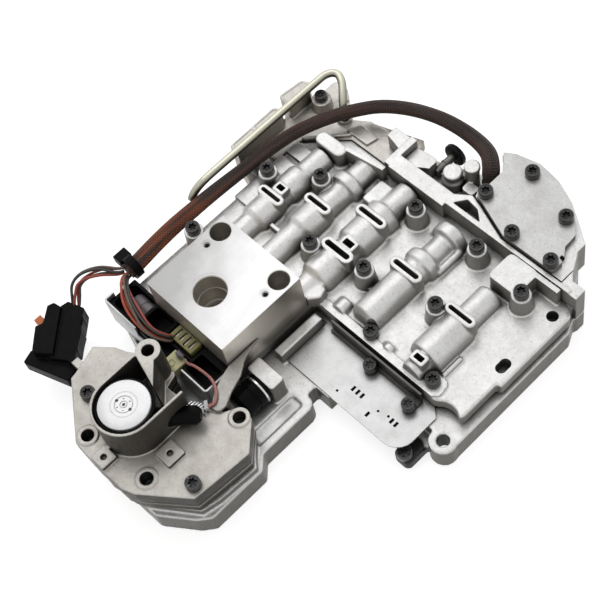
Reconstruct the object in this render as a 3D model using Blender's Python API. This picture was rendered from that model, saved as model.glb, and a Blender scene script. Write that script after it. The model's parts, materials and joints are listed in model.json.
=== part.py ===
"""Transmission valve body: castings, valve train, solenoid and harness, in metres, +Z up.

The origin lies on the lower housing's rest face. X runs across the valve bores and Y along them.
"""
import math

import bmesh
import bpy
from mathutils import Matrix, Vector

# Gaps and fineness
GAP = 0.0003
BITE = 0.0006
ROUND_STEPS = 5
BARREL_SIDES = 20
BORE_SIDES = 16
SCREW_SIDES = 10

# Heights of the stack
LOWER_HEIGHT = 0.018
PLATE_THICKNESS = 0.0014
DECK_THICKNESS = 0.010
FLANGE_RISE = 0.0015
BOSS_HEIGHT = 0.015
PLATE_FOOT = LOWER_HEIGHT + GAP
PLATE_TOP = PLATE_FOOT + PLATE_THICKNESS
DECK_FOOT = PLATE_TOP + GAP
DECK_TOP = DECK_FOOT + DECK_THICKNESS
FLANGE_TOP = DECK_TOP + FLANGE_RISE
BOSS_TOP = DECK_TOP + BOSS_HEIGHT

# Valve bores: columns run along Y, with their centres at one height
BORE_HEIGHT = 0.033
SLOT_WALL = 0.0028
SPOOL_CLEARANCE = 0.0002
SPOOL_TRAVEL = 0.0050
SPOOL_LENGTH = 0.0165
SPOOL_WAIST = 0.55
PLUG_LENGTH = 0.0040
KEEPER_CLEARANCE = 0.0004
STOP_STEP = 0.0004
SPRING_WIRE = 0.0006
SPRING_CLEARANCE = 0.0003
SPRING_TURNS = 4
SPRING_STEPS = 8

# Screws
SCREW_HEAD_RADIUS = 0.0050
SCREW_HEAD_HEIGHT = 0.0050
SCREW_SHANK_RADIUS = 0.0030
SCREW_CHAMFER = 0.0008
SCREW_LENGTH = 0.0110
SCREW_HOLE_CLEARANCE = 0.0003
HEAD_CLEARANCE = 0.0005
SCREW_SOCKET_RADIUS = 0.0026
SCREW_SOCKET_DEPTH = 0.0022
SCREW_BOSS_RADIUS = 0.0072
SCREW_BOSS_DRAFT = 0.0006

# Suction block
BLOCK_LEFT = -0.062
BLOCK_RIGHT = 0.011
BLOCK_FRONT = -0.0696
BLOCK_BACK = -0.0017
BLOCK_HEIGHT = 0.0377
BLOCK_UNDERCUT_DEPTH = 0.0110
BLOCK_UNDERCUT_HEIGHT = 0.0125
BLOCK_EDGE = 0.0008
PORT_X = -0.026
PORT_Y = -0.0463
PORT_RADIUS = 0.0112
PORT_STEP_RADIUS = 0.0088
PORT_DEPTH = 0.027
PORT_STEP_DEPTH = 0.033
DOWEL_RADIUS = 0.0071
DOWEL_DEPTH = 0.022
PIN_HOLE_RADIUS = 0.0015
PIN_HOLE_DEPTH = 0.006
BLOCK_FOOT = DECK_TOP + GAP
BLOCK_TOP = BLOCK_FOOT + BLOCK_HEIGHT

# Accumulator stack: pedestal on the lower housing, body, cover with the solenoid's wall
PEDESTAL_TOP = 0.0240
COVER_THICKNESS = 0.0080
COVER_TOP = 0.0450
ACCUMULATOR_FOOT = PEDESTAL_TOP + GAP
COVER_FOOT = COVER_TOP - COVER_THICKNESS
ACCUMULATOR_TOP = COVER_FOOT - GAP
NEST_X = -0.0037
NEST_Y = -0.1366
NEST_RADIUS = 0.0216
NEST_WALL = 0.0018
NEST_TOP = 0.0750
NEST_RIGHT_END = -0.1065
EAR_X = -0.0204
EAR_Y = -0.1023
EAR_RADIUS = 0.0082
EAR_HOLE_RADIUS = 0.0042
EAR_HOLE_DEPTH = 0.0200
CAN_RADIUS = 0.0192
CAN_TOP = 0.0725
CAP_RADIUS = 0.0170
CAP_RISE = 0.0017
CAP_TOP = CAN_TOP + CAP_RISE
CAP_SKIRT = 0.0040
CAP_HUB_RADIUS = 0.0055

# Rear housing and its cover
REAR_HOUSING_TOP = 0.0440
REAR_COVER_THICKNESS = 0.0037
REAR_COVER_FOOT = REAR_HOUSING_TOP + GAP
REAR_COVER_TOP = REAR_COVER_FOOT + REAR_COVER_THICKNESS

# Cords
SLEEVE_RADIUS = 0.0060
TUBE_RADIUS = 0.0029
WIRE_BUNCH_RADIUS = 0.0024
PINK_WIRE_RADIUS = 0.0009


def clear_scene():
    for old in list(bpy.data.objects):
        bpy.data.objects.remove(old)


def centred(made, place):
    """Moves the object's origin to the given place, on the axis it slides along."""
    made.data.transform(Matrix.Translation(-Vector(place)))
    made.location = place
    return made


def material(name, colour, roughness, metallic):
    """Principled finish shared by nothing else than the objects of one kind."""
    made = bpy.data.materials.new(name)
    made.use_nodes = True
    shader = made.node_tree.nodes["Principled BSDF"]
    shader.inputs["Base Color"].default_value = (*colour, 1.0)
    shader.inputs["Roughness"].default_value = roughness
    shader.inputs["Metallic"].default_value = metallic
    return made


def solid(bm, name="tool", finish=None):
    """Object from a bmesh with its faces turned outwards."""
    bmesh.ops.recalc_face_normals(bm, faces=bm.faces)
    mesh = bpy.data.meshes.new(name)
    bm.to_mesh(mesh)
    bm.free()
    made = bpy.data.objects.new(name, mesh)
    if finish:
        mesh.materials.append(finish)
    bpy.context.scene.collection.objects.link(made)
    return made


def smooth(made, angle=35.0):
    made.data.shade_smooth()
    made.data.set_sharp_from_angle(angle=math.radians(angle))
    return made


def named(made, name, finish, angle=35.0):
    made.name = name
    made.data.name = name
    made.data.materials.clear()
    made.data.materials.append(finish)
    return smooth(made, angle)


def boolean(body, operation, tools):
    """Runs every tool on the body with the exact solver, then drops the tools."""
    for tool in tools:
        step = body.modifiers.new(operation, "BOOLEAN")
        step.operation = operation
        step.solver = "EXACT"
        step.object = tool
    bpy.context.view_layer.update()
    seen = body.evaluated_get(bpy.context.evaluated_depsgraph_get())
    result = bpy.data.meshes.new_from_object(seen)
    body.modifiers.clear()
    body.data = result
    for tool in tools:
        bpy.data.objects.remove(tool)
    return body


def join(body, tools):
    return boolean(body, "UNION", tools)


def cut(body, tools):
    return boolean(body, "DIFFERENCE", tools)


def outline(corners):
    """Points of a closed outline. A corner is (x, y) or (x, y, radius of its fillet)."""
    points = []
    count = len(corners)
    for index, corner in enumerate(corners):
        here = Vector(corner[:2])
        radius = corner[2] if len(corner) > 2 else 0.0
        if radius <= 0.0:
            points.append(here)
            continue
        before = Vector(corners[index - 1][:2]) - here
        after = Vector(corners[(index + 1) % count][:2]) - here
        half = before.angle(after) / 2
        reach = radius / math.tan(half)
        centre = here + (before.normalized() + after.normalized()).normalized() * radius / math.sin(half)
        start = here + before.normalized() * reach - centre
        end = here + after.normalized() * reach - centre
        turn = start.angle_signed(end)
        for step in range(ROUND_STEPS + 1):
            spin = Matrix.Rotation(-turn * step / ROUND_STEPS, 2)
            points.append(centre + spin @ start)
    return points


def rectangle(left, right, front, back, radius=0.0):
    return [(left, front, radius), (right, front, radius), (right, back, radius), (left, back, radius)]


def circle(x, y, radius, sides):
    angles = [2 * math.pi * step / sides for step in range(sides)]
    return [Vector((x + radius * math.cos(a), y + radius * math.sin(a))) for a in angles]


def arc(x, y, radius, start, end, steps):
    """Points along an arc from start to end, in degrees."""
    angles = [math.radians(start + (end - start) * step / steps) for step in range(steps + 1)]
    return [(x + radius * math.cos(a), y + radius * math.sin(a)) for a in angles]


def capsule(start, end, width, steps=6):
    """Outline of a straight slot with round ends, between the middles of its ends."""
    turn = math.degrees(math.atan2(end[1] - start[1], end[0] - start[0]))
    return (arc(*start, width / 2, turn + 90, turn + 270, steps)
            + arc(*end, width / 2, turn - 90, turn + 90, steps))


def stadium(x, y, length, width):
    """Outline of a slot that lies along X."""
    half = length / 2 - width / 2
    return capsule((x - half, y), (x + half, y), width)


def slab(points, foot, top):
    """Closed prism over a flat outline."""
    bm = bmesh.new()
    ring = [bm.verts.new((p[0], p[1], foot)) for p in points]
    face = bm.faces.new(ring)
    lifted = bmesh.ops.extrude_face_region(bm, geom=[face])
    moved = [v for v in lifted["geom"] if isinstance(v, bmesh.types.BMVert)]
    bmesh.ops.translate(bm, verts=moved, vec=(0, 0, top - foot))
    return solid(bm)


def prism(corners, foot, top):
    return slab(outline(corners), foot, top)


def box(left, right, front, back, foot, top):
    return prism(rectangle(left, right, front, back), foot, top)


def post(x, y, radius, foot, top, sides=SCREW_SIDES * 2):
    return slab(circle(x, y, radius, sides), foot, top)


def turned(profile, sides, place, axis="Z"):
    """Closed body of revolution. The profile is (distance along the axis, radius) from end to end."""
    bm = bmesh.new()
    rings = []
    for along, radius in profile:
        if radius <= 0.0:
            rings.append([bm.verts.new((0, 0, along))])
            continue
        rings.append([bm.verts.new((*p, along)) for p in circle(0, 0, radius, sides)])
    for lower, upper in zip(rings, rings[1:]):
        for step in range(sides):
            other = (step + 1) % sides
            if len(lower) == 1:
                bm.faces.new((lower[0], upper[step], upper[other]))
            elif len(upper) == 1:
                bm.faces.new((lower[step], lower[other], upper[0]))
            else:
                bm.faces.new((lower[step], lower[other], upper[other], upper[step]))
    for ring in (rings[0], rings[-1]):
        if len(ring) > 1:
            bm.faces.new(ring)
    if axis == "Y":
        bmesh.ops.rotate(bm, verts=bm.verts, matrix=Matrix.Rotation(-math.pi / 2, 3, "X"))
    if axis == "X":
        bmesh.ops.rotate(bm, verts=bm.verts, matrix=Matrix.Rotation(math.pi / 2, 3, "Y"))
    bmesh.ops.translate(bm, verts=bm.verts, vec=place)
    return solid(bm)


def smooth_route(points, step):
    """Points spaced by about one step along a smooth curve through the given ones."""
    ways = [Vector(p) for p in points]
    ways = [2 * ways[0] - ways[1]] + ways + [2 * ways[-1] - ways[-2]]
    fine = []
    for index in range(1, len(ways) - 2):
        a, b, c, d = ways[index - 1:index + 3]
        pieces = max(1, round((c - b).length / step))
        for piece in range(pieces):
            t = piece / pieces
            fine.append(0.5 * (2 * b + (c - a) * t + (2 * a - 5 * b + 4 * c - d) * t * t
                               + (3 * b - a - 3 * c + d) * t ** 3))
    fine.append(ways[-2])
    return fine


def cord(name, points, radius, step, finish, resolution=2):
    """Tube with closed ends along a smooth route."""
    route = smooth_route(points, step)
    curve = bpy.data.curves.new(name, "CURVE")
    curve.dimensions = "3D"
    curve.bevel_depth = radius
    curve.bevel_resolution = resolution
    curve.use_fill_caps = True
    curve.render_resolution_u = 0
    spline = curve.splines.new("POLY")
    spline.points.add(len(route) - 1)
    for point, place in zip(spline.points, route):
        point.co = (*place, 1.0)
    curve.materials.append(finish)
    made = bpy.data.objects.new(name, curve)
    bpy.context.scene.collection.objects.link(made)
    return made


clear_scene()
CAST = material("cast_aluminium", (0.62, 0.62, 0.60), 0.42, 0.9)
CAST_WARM = material("cast_aluminium_warm", (0.52, 0.51, 0.45), 0.5, 0.85)
MACHINED = material("machined_aluminium", (0.86, 0.86, 0.86), 0.25, 1.0)
SHEET = material("steel_sheet", (0.85, 0.85, 0.84), 0.2, 1.0)
SCREW_STEEL = material("dark_screw_steel", (0.20, 0.20, 0.19), 0.35, 1.0)
SPOOL_STEEL = material("bright_steel", (0.60, 0.60, 0.60), 0.15, 1.0)
BLACK = material("black_plastic", (0.02, 0.02, 0.02), 0.45, 0.0)
RUBBER = material("black_rubber", (0.015, 0.015, 0.015), 0.7, 0.0)
WHITE = material("white_plastic", (0.85, 0.85, 0.83), 0.4, 0.0)
CREAM = material("cream_plastic", (0.80, 0.76, 0.45), 0.45, 0.0)
ORANGE = material("orange_plastic", (0.80, 0.20, 0.06), 0.45, 0.0)
BRAID = material("brown_braid", (0.13, 0.07, 0.05), 0.75, 0.0)
WIRE = material("wire_insulation", (0.35, 0.12, 0.10), 0.5, 0.0)
PINK = material("pink_insulation", (0.75, 0.35, 0.36), 0.5, 0.0)


def screw(name, x, y, seat, radius=SCREW_HEAD_RADIUS, height=SCREW_HEAD_HEIGHT, length=SCREW_LENGTH):
    """Cap screw: chamfered head with a six-sided socket, its shank below the seat."""
    under = seat + GAP
    top = under + height
    body = turned(
        [(seat - length, SCREW_SHANK_RADIUS - SCREW_CHAMFER / 2),
         (seat - length + SCREW_CHAMFER, SCREW_SHANK_RADIUS), (under, SCREW_SHANK_RADIUS),
         (under, radius), (top - SCREW_CHAMFER, radius), (top, radius - SCREW_CHAMFER)],
        SCREW_SIDES, (x, y, 0))
    socket = slab(circle(x, y, SCREW_SOCKET_RADIUS, 6), top - SCREW_SOCKET_DEPTH, top + BITE)
    return named(cut(body, [socket]), name, SCREW_STEEL)


def screw_hole(x, y, seat, length=SCREW_LENGTH):
    """Cutter for a screw's shank, a little wider and deeper than it."""
    depth = seat - length - 3 * GAP
    return post(x, y, SCREW_SHANK_RADIUS + SCREW_HOLE_CLEARANCE, depth, seat + 2 * BITE, SCREW_SIDES)


# Lower housing: one casting under the whole stack, with a leg under the plate's tongue
LOWER_OUTLINE = [
    (-0.096, 0.100), (-0.096, -0.020), (-0.0885, -0.066), (-0.0885, -0.088, 0.006),
    (-0.0475, -0.1005, 0.004), (-0.051, -0.107), (-0.0655, -0.119), (-0.060, -0.141), (-0.023, -0.168),
    (-0.004, -0.1695), (0.010, -0.1665), (0.039, -0.1655, 0.006), (0.0605, -0.150, 0.008),
    (0.067, -0.142, 0.004), (0.067, -0.099, 0.004), (0.059, -0.091, 0.003), (0.059, -0.0435, 0.007),
    (0.0500, -0.0435, 0.002), (0.0500, -0.036), (0.062, -0.036), (0.062, -0.008, 0.004), (0.1300, -0.008),
    (0.1450, -0.0085), (0.1450, 0.099, 0.003), (0.1405, 0.108), (0.1415, 0.111), (0.1415, 0.118),
    (0.132, 0.118), (0.1195, 0.138), (0.110, 0.143), (0.088, 0.160), (0.057, 0.168, 0.010),
    (0.030, 0.158, 0.008), (-0.020, 0.1400), (-0.062, 0.130), (-0.096, 0.125)]
LEG_OUTLINE = [(0.1150, -0.0060), (0.1150, -0.0335, 0.004), (0.1285, -0.0335, 0.004), (0.1285, -0.0060)]
LEG_HEIGHT = 0.0090
LOWER_EAR = (0.1361, -0.0085, 0.0095, 0.0043)
PEDESTAL_OUTLINE = [
    (-0.0655, -0.119), (-0.060, -0.141), (-0.023, -0.168), (-0.004, -0.1695), (0.0235, -0.1685),
    (0.0320, -0.1645), (0.0610, -0.1440), (0.0638, -0.131), (0.0655, -0.1015), (0.058, -0.0955),
    (0.050, -0.0875), (0.010, -0.1000), (-0.035, -0.1020), (-0.051, -0.107)]
PANEL_DEPTH = 0.0020
PANEL_CORNERS = [(0.0430, -0.0950), (0.0530, -0.0950), (0.0530, -0.0500, 0.003), (0.0430, -0.0500, 0.003)]
UPRIGHT_HEIGHT = 0.0105
LUG_HEIGHT = 0.0200
LUG_LEFT = 0.0165
LUG_RIGHT = 0.0400
LUG_FRONT = -0.0612
LUG_BACK = -0.0500
HANGING_BOLT = (0.1220, -0.0290, 0.0050)
UNDERSIDE_PASSAGES = [
    [(-0.0800, 0.0900), (-0.0500, 0.0900), (-0.0500, 0.0550), (-0.0760, 0.0550)],
    [(-0.0780, 0.0320), (-0.0420, 0.0320), (-0.0420, 0.0020), (-0.0780, 0.0020)],
    [(-0.0200, 0.1150), (-0.0200, 0.0280), (0.0150, 0.0280)],
    [(0.0000, 0.1250), (0.0620, 0.1250), (0.0620, 0.0900)],
    [(0.0200, 0.0900), (0.0200, 0.0520), (0.0560, 0.0520), (0.0560, 0.0700)],
    [(0.0850, 0.1150), (0.0850, 0.0350), (0.1200, 0.0350)],
    [(0.1080, 0.0850), (0.1300, 0.0850), (0.1300, 0.0550)],
    [(0.0350, 0.0120), (0.1150, 0.0120)],
    [(-0.0700, -0.0300), (-0.0250, -0.0300), (-0.0250, -0.0750)],
    [(0.0100, -0.0350), (0.0400, -0.0600), (0.0400, -0.0850)],
    [(-0.0300, -0.1200), (0.0120, -0.1200), (0.0120, -0.0950)]]
PASSAGE_WIDTH = 0.0060
PASSAGE_DEPTH = 0.0045


def lower_housing():
    body = prism(LOWER_OUTLINE, 0.0, LOWER_HEIGHT)
    ear_x, ear_y, ear_radius, ear_hole = LOWER_EAR
    bolt_x, bolt_y, bolt_radius = HANGING_BOLT
    join(body, [
        post(ear_x, ear_y, ear_radius, 0.0, LOWER_HEIGHT, 24),
        prism(PEDESTAL_OUTLINE, LOWER_HEIGHT - BITE, PEDESTAL_TOP),
        box(0.0156, 0.0228, -0.0380, -0.0010, LOWER_HEIGHT - BITE, LOWER_HEIGHT + UPRIGHT_HEIGHT),
        prism(rectangle(LUG_LEFT, LUG_RIGHT, LUG_FRONT, LUG_BACK, 0.002), LOWER_HEIGHT - BITE,
              LOWER_HEIGHT + LUG_HEIGHT),
        prism(LEG_OUTLINE, 0.0, LEG_HEIGHT),
        turned([(LEG_HEIGHT - BITE, bolt_radius), (LEG_HEIGHT + SCREW_HEAD_HEIGHT, bolt_radius)],
               SCREW_SIDES,
               (bolt_x, bolt_y, 0)),
    ])
    holes = [
        post(ear_x, ear_y, ear_hole, -BITE, LOWER_HEIGHT + BITE, BORE_SIDES),
        prism(PANEL_CORNERS, LOWER_HEIGHT - PANEL_DEPTH, LOWER_HEIGHT + BITE),
        prism(rectangle(LOCKUP_X - 0.0035, LOCKUP_X + 0.0040, LOCKUP_FRONT, LUG_FRONT - 0.0028, 0.001),
              LOWER_HEIGHT - PANEL_DEPTH, LOWER_HEIGHT + BITE),
        prism(rectangle(-0.0650, -0.0560, -0.0925, -0.0895, 0.0008), LOWER_HEIGHT - 2 * PANEL_DEPTH,
              LOWER_HEIGHT + BITE),
    ]
    holes += [screw_hole(x, y, COVER_TOP, ACCUMULATOR_SCREW_LENGTH) for x, y in ACCUMULATOR_SCREWS]
    holes += [post(x, y, radius, -BITE, PEDESTAL_TOP + BITE, BORE_SIDES) for x, y, radius in COVER_HOLES]
    for passage in UNDERSIDE_PASSAGES:
        holes += [slab(capsule(start, end, PASSAGE_WIDTH, 3), -BITE, PASSAGE_DEPTH)
                  for start, end in zip(passage, passage[1:])]
    return named(cut(body, holes), "lower_housing", CAST)


# Separator plate between the housings, with the stamped slots of its tongue
PLATE_OUTLINE = [
    (0.0233, -0.0350), (0.1231, -0.0350, 0.013), (0.1231, -0.0010), (0.1140, 0.0070), (0.1375, 0.0130),
    (0.1375, 0.0370), (0.1410, 0.0390), (0.1410, 0.1015), (0.1365, 0.1065), (0.1280, 0.1110),
    (-0.0600, 0.1110), (-0.0880, 0.0860), (-0.0880, -0.0640), (0.0090, -0.0640), (0.0090, 0.0015),
    (0.0233, 0.0015)]
PLATE_SLOTS = [
    (0.0700, -0.0209), (0.0739, -0.0209), (0.0778, -0.0209), (0.1039, -0.0209), (0.1076, -0.0209),
    (0.0892, -0.0278)]
PLATE_SLOT_SIZE = (0.0019, 0.0038)
PLATE_PUNCHES = [(0.0928, -0.0217), (0.1002, -0.0200), (0.0631, -0.0289)]
PLATE_PUNCH_RADIUS = 0.0009


def separator_plate():
    body = prism(PLATE_OUTLINE, PLATE_FOOT, PLATE_TOP)
    wide, deep = PLATE_SLOT_SIZE
    holes = [box(x - wide / 2, x + wide / 2, y - deep / 2, y + deep / 2, PLATE_FOOT - BITE,
                 PLATE_TOP + BITE)
             for x, y in PLATE_SLOTS]
    holes += [post(x, y, PLATE_PUNCH_RADIUS, PLATE_FOOT - BITE, PLATE_TOP + BITE, 8) for x,
              y in PLATE_PUNCHES]
    holes += [screw_hole(x, y, BOSS_TOP, DECK_SCREW_LENGTH) for x, y in DECK_SCREWS.values()]
    holes += [screw_hole(x, y, FLANGE_TOP) for x, y in FLANGE_SCREWS.values()]
    return named(cut(body, holes), "separator_plate", SHEET)


# Ledge strip on the plate against the deck's front, carrying its two screws
LEDGE_OUTLINE = [
    (0.0300, -0.0015), (0.0990, -0.0015), (0.1020, -0.0080, 0.001), (0.1095, -0.0080, 0.001),
    (0.1095, 0.0018), (0.0300, 0.0018)]
LEDGE_HEIGHT = 0.0020
LEDGE_WALL = 0.0014
LEDGE_RISE = 0.0098
LEDGE_SCREWS = [(0.0690, -0.0040), (0.1060, -0.0075)]
LEDGE_HEAD_RADIUS = 0.0044
LEDGE_HEAD_HEIGHT = 0.0045


def ledge_strip():
    foot = PLATE_TOP + GAP
    top = foot + LEDGE_HEIGHT
    body = prism(LEDGE_OUTLINE, foot, top)
    left, _ = LEDGE_OUTLINE[-1]
    right, back = LEDGE_OUTLINE[-2]
    adds = [box(left, right, back - LEDGE_WALL, back, top - BITE, top + LEDGE_RISE)]
    head_top = top + LEDGE_HEAD_HEIGHT
    head = [(foot, LEDGE_HEAD_RADIUS), (head_top - SCREW_CHAMFER, LEDGE_HEAD_RADIUS),
            (head_top, LEDGE_HEAD_RADIUS - SCREW_CHAMFER)]
    adds += [turned(head, SCREW_SIDES, (x, y, 0)) for x, y in LEDGE_SCREWS]
    return named(join(body, adds), "ledge_strip", CAST_WARM)


# Upper housing: deck, five valve columns, screw bosses and ribs
DECK_OUTLINE = (
    [(-0.0900, -0.0660), (0.0105, -0.0660), (0.0105, 0.0040), (0.1170, 0.0040, 0.002)]
    + arc(0.1285, -0.0035, 0.0125, 135, 45, 5)
    + [(0.1390, 0.0085), (0.1390, 0.0380), (0.1425, 0.0380), (0.1425, 0.1030, 0.003), (0.1380, 0.1080),
       (0.1290, 0.1120), (-0.0620, 0.1120), (-0.0900, 0.0870)])
FLANGE_OUTLINE = [
    (0.0110, 0.0045), (0.1150, 0.0045), (0.1190, 0.0080, 0.003), (0.1175, 0.0190, 0.005),
    (0.1010, 0.0190, 0.005), (0.0960, 0.0105), (0.0170, 0.0105)]
DECK_SCREWS = {
    "deck_screw_1": (0.0700, 0.0965), "deck_screw_2": (0.1137, 0.0896), "deck_screw_3": (0.0193, 0.0929),
    "deck_screw_4": (0.0792, 0.0480), "deck_screw_5": (0.0258, 0.0374), "deck_screw_6": (-0.0150, 0.0283),
    "deck_screw_7": (-0.0470, 0.0697), "deck_screw_8": (-0.0793, 0.0498), "deck_screw_9": (-0.0830, -0.0160)}
DECK_SCREW_LENGTH = 0.0190
FLANGE_SCREWS = {"flange_screw_1": (0.0560, 0.0112), "flange_screw_2": (0.1090, 0.0125)}
DECK_EAR = (0.1332, 0.0966, 0.0040)
DECK_SLOT = (0.1336, 0.0500, 0.0075, 0.0114)

# Each column: centre, bore radius, bore from its blind end to its mouth, keeper slot,
# outside as (y, radius)
COLUMNS = {
    "a": {"x": -0.0645, "bore": 0.0055, "blind": 0.0080, "mouth": 0.0880,
          "slot_y": 0.0383, "slot_length": 0.0175, "slot_width": 0.0028, "slot_top": 0.0440,
          "outside": [(-0.0012, 0.0088), (0.0185, 0.0088), (0.0210, 0.0112), (0.0350, 0.0112),
                      (0.0400, 0.0095), (0.0475, 0.0088), (0.0500, 0.0110), (0.0655, 0.0110),
                      (0.0670, 0.0092), (0.0880, 0.0090)]},
    "b": {"x": -0.0345, "bore": 0.0057, "blind": 0.0080, "mouth": 0.1005,
          "slot_y": 0.0539, "slot_length": 0.0180, "slot_width": 0.0030, "slot_top": 0.0450,
          "outside": [(-0.0012, 0.0094), (0.0335, 0.0094), (0.0355, 0.0120), (0.0510, 0.0120),
                      (0.0570, 0.0098), (0.0755, 0.0095), (0.0770, 0.0125), (0.0840, 0.0122),
                      (0.0855, 0.0092), (0.1005, 0.0090)]},
    "c": {"x": 0.0009, "bore": 0.0060, "blind": 0.0180, "mouth": 0.1050,
          "slot_y": 0.0693, "slot_length": 0.0210, "slot_width": 0.0032, "slot_top": 0.0465,
          "outside": [(-0.0012, 0.0085), (0.0125, 0.0092), (0.0155, 0.0129), (0.0335, 0.0129),
                      (0.0400, 0.0115), (0.0470, 0.0095), (0.0495, 0.0129), (0.0660, 0.0129),
                      (0.0700, 0.0115), (0.0745, 0.0129), (0.0815, 0.0129), (0.0830, 0.0095),
                      (0.1050, 0.0093)]},
    "d": {"x": 0.0464, "bore": 0.0057, "blind": 0.0185, "mouth": 0.1000,
          "slot_y": 0.0552, "slot_length": 0.0210, "slot_width": 0.0034, "slot_top": 0.0458,
          "outside": [(0.0135, 0.0070), (0.0160, 0.0116), (0.0560, 0.0116), (0.0590, 0.0104),
                      (0.0640, 0.0108), (0.0660, 0.0129), (0.0725, 0.0129), (0.0750, 0.0085),
                      (0.0900, 0.0082), (0.0915, 0.0126), (0.0990, 0.0126), (0.1000, 0.0116)]},
    "e": {"x": 0.0953, "bore": 0.0057, "blind": 0.0125, "mouth": 0.0815,
          "slot_y": 0.0533, "slot_length": 0.0190, "slot_width": 0.0028, "slot_top": 0.0466,
          "outside": [(0.0070, 0.0078), (0.0185, 0.0082), (0.0200, 0.0129), (0.0505, 0.0129),
                      (0.0560, 0.0100), (0.0580, 0.0092), (0.0800, 0.0092), (0.0815, 0.0082)]},
}
SLOT_DEPTH_BELOW_CENTRE = 0.0020
EXHAUST_PORTS = [
    (0.0965, 0.0146, 0.0070, 0.0040), (0.0040, 0.0450, 0.0080, 0.0048), (-0.0625, 0.0463, 0.0060, 0.0042)]
EXHAUST_SLOT = {"x": 0.0020, "slot_y": 0.0365, "slot_length": 0.0215, "slot_width": 0.0042,
                "slot_top": 0.0458}
PAD_TOP = 0.0450
LOW_RIB = 0.0033


def slot_rim(place):
    """Raised rim round a slot in the top of a column."""
    around = stadium(place["x"], place["slot_y"], place["slot_length"] + 2 * SLOT_WALL,
                     place["slot_width"] + 2 * SLOT_WALL)
    return slab(around, BORE_HEIGHT - BITE, place["slot_top"])


def slot_cutter(place, foot):
    return slab(stadium(place["x"], place["slot_y"], place["slot_length"], place["slot_width"]), foot,
                place["slot_top"] + BITE)


def valve_column(column):
    """Outside of one column, turned along Y, with the rim of its keeper slot."""
    return [turned(column["outside"], BARREL_SIDES, (column["x"], 0, BORE_HEIGHT), "Y"), slot_rim(column)]


def plug_front(column):
    """Front of the plug, where the keeper plate holds it."""
    return column["slot_y"] - column["slot_width"] / 2 + KEEPER_CLEARANCE / 2


def spool_front(column):
    return plug_front(column) - GAP - SPOOL_LENGTH


def column_cutters(column):
    """Bore with the step that stops the spool at its travel, and the slot for the keeper plate."""
    stop = spool_front(column) - SPOOL_TRAVEL - GAP
    narrow = column["bore"] - STOP_STEP
    bore = turned([(column["blind"], narrow), (stop, narrow), (stop, column["bore"]),
                   (column["mouth"] + BITE, column["bore"])], BORE_SIDES, (column["x"], 0, BORE_HEIGHT), "Y")
    return [bore, slot_cutter(column, BORE_HEIGHT - SLOT_DEPTH_BELOW_CENTRE)]


def screw_boss(x, y, top):
    return turned([(DECK_FOOT + BITE, SCREW_BOSS_RADIUS + SCREW_BOSS_DRAFT),
                   (top, SCREW_BOSS_RADIUS - SCREW_BOSS_DRAFT)],
                  SCREW_SIDES + 4, (x, y, 0))


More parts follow.
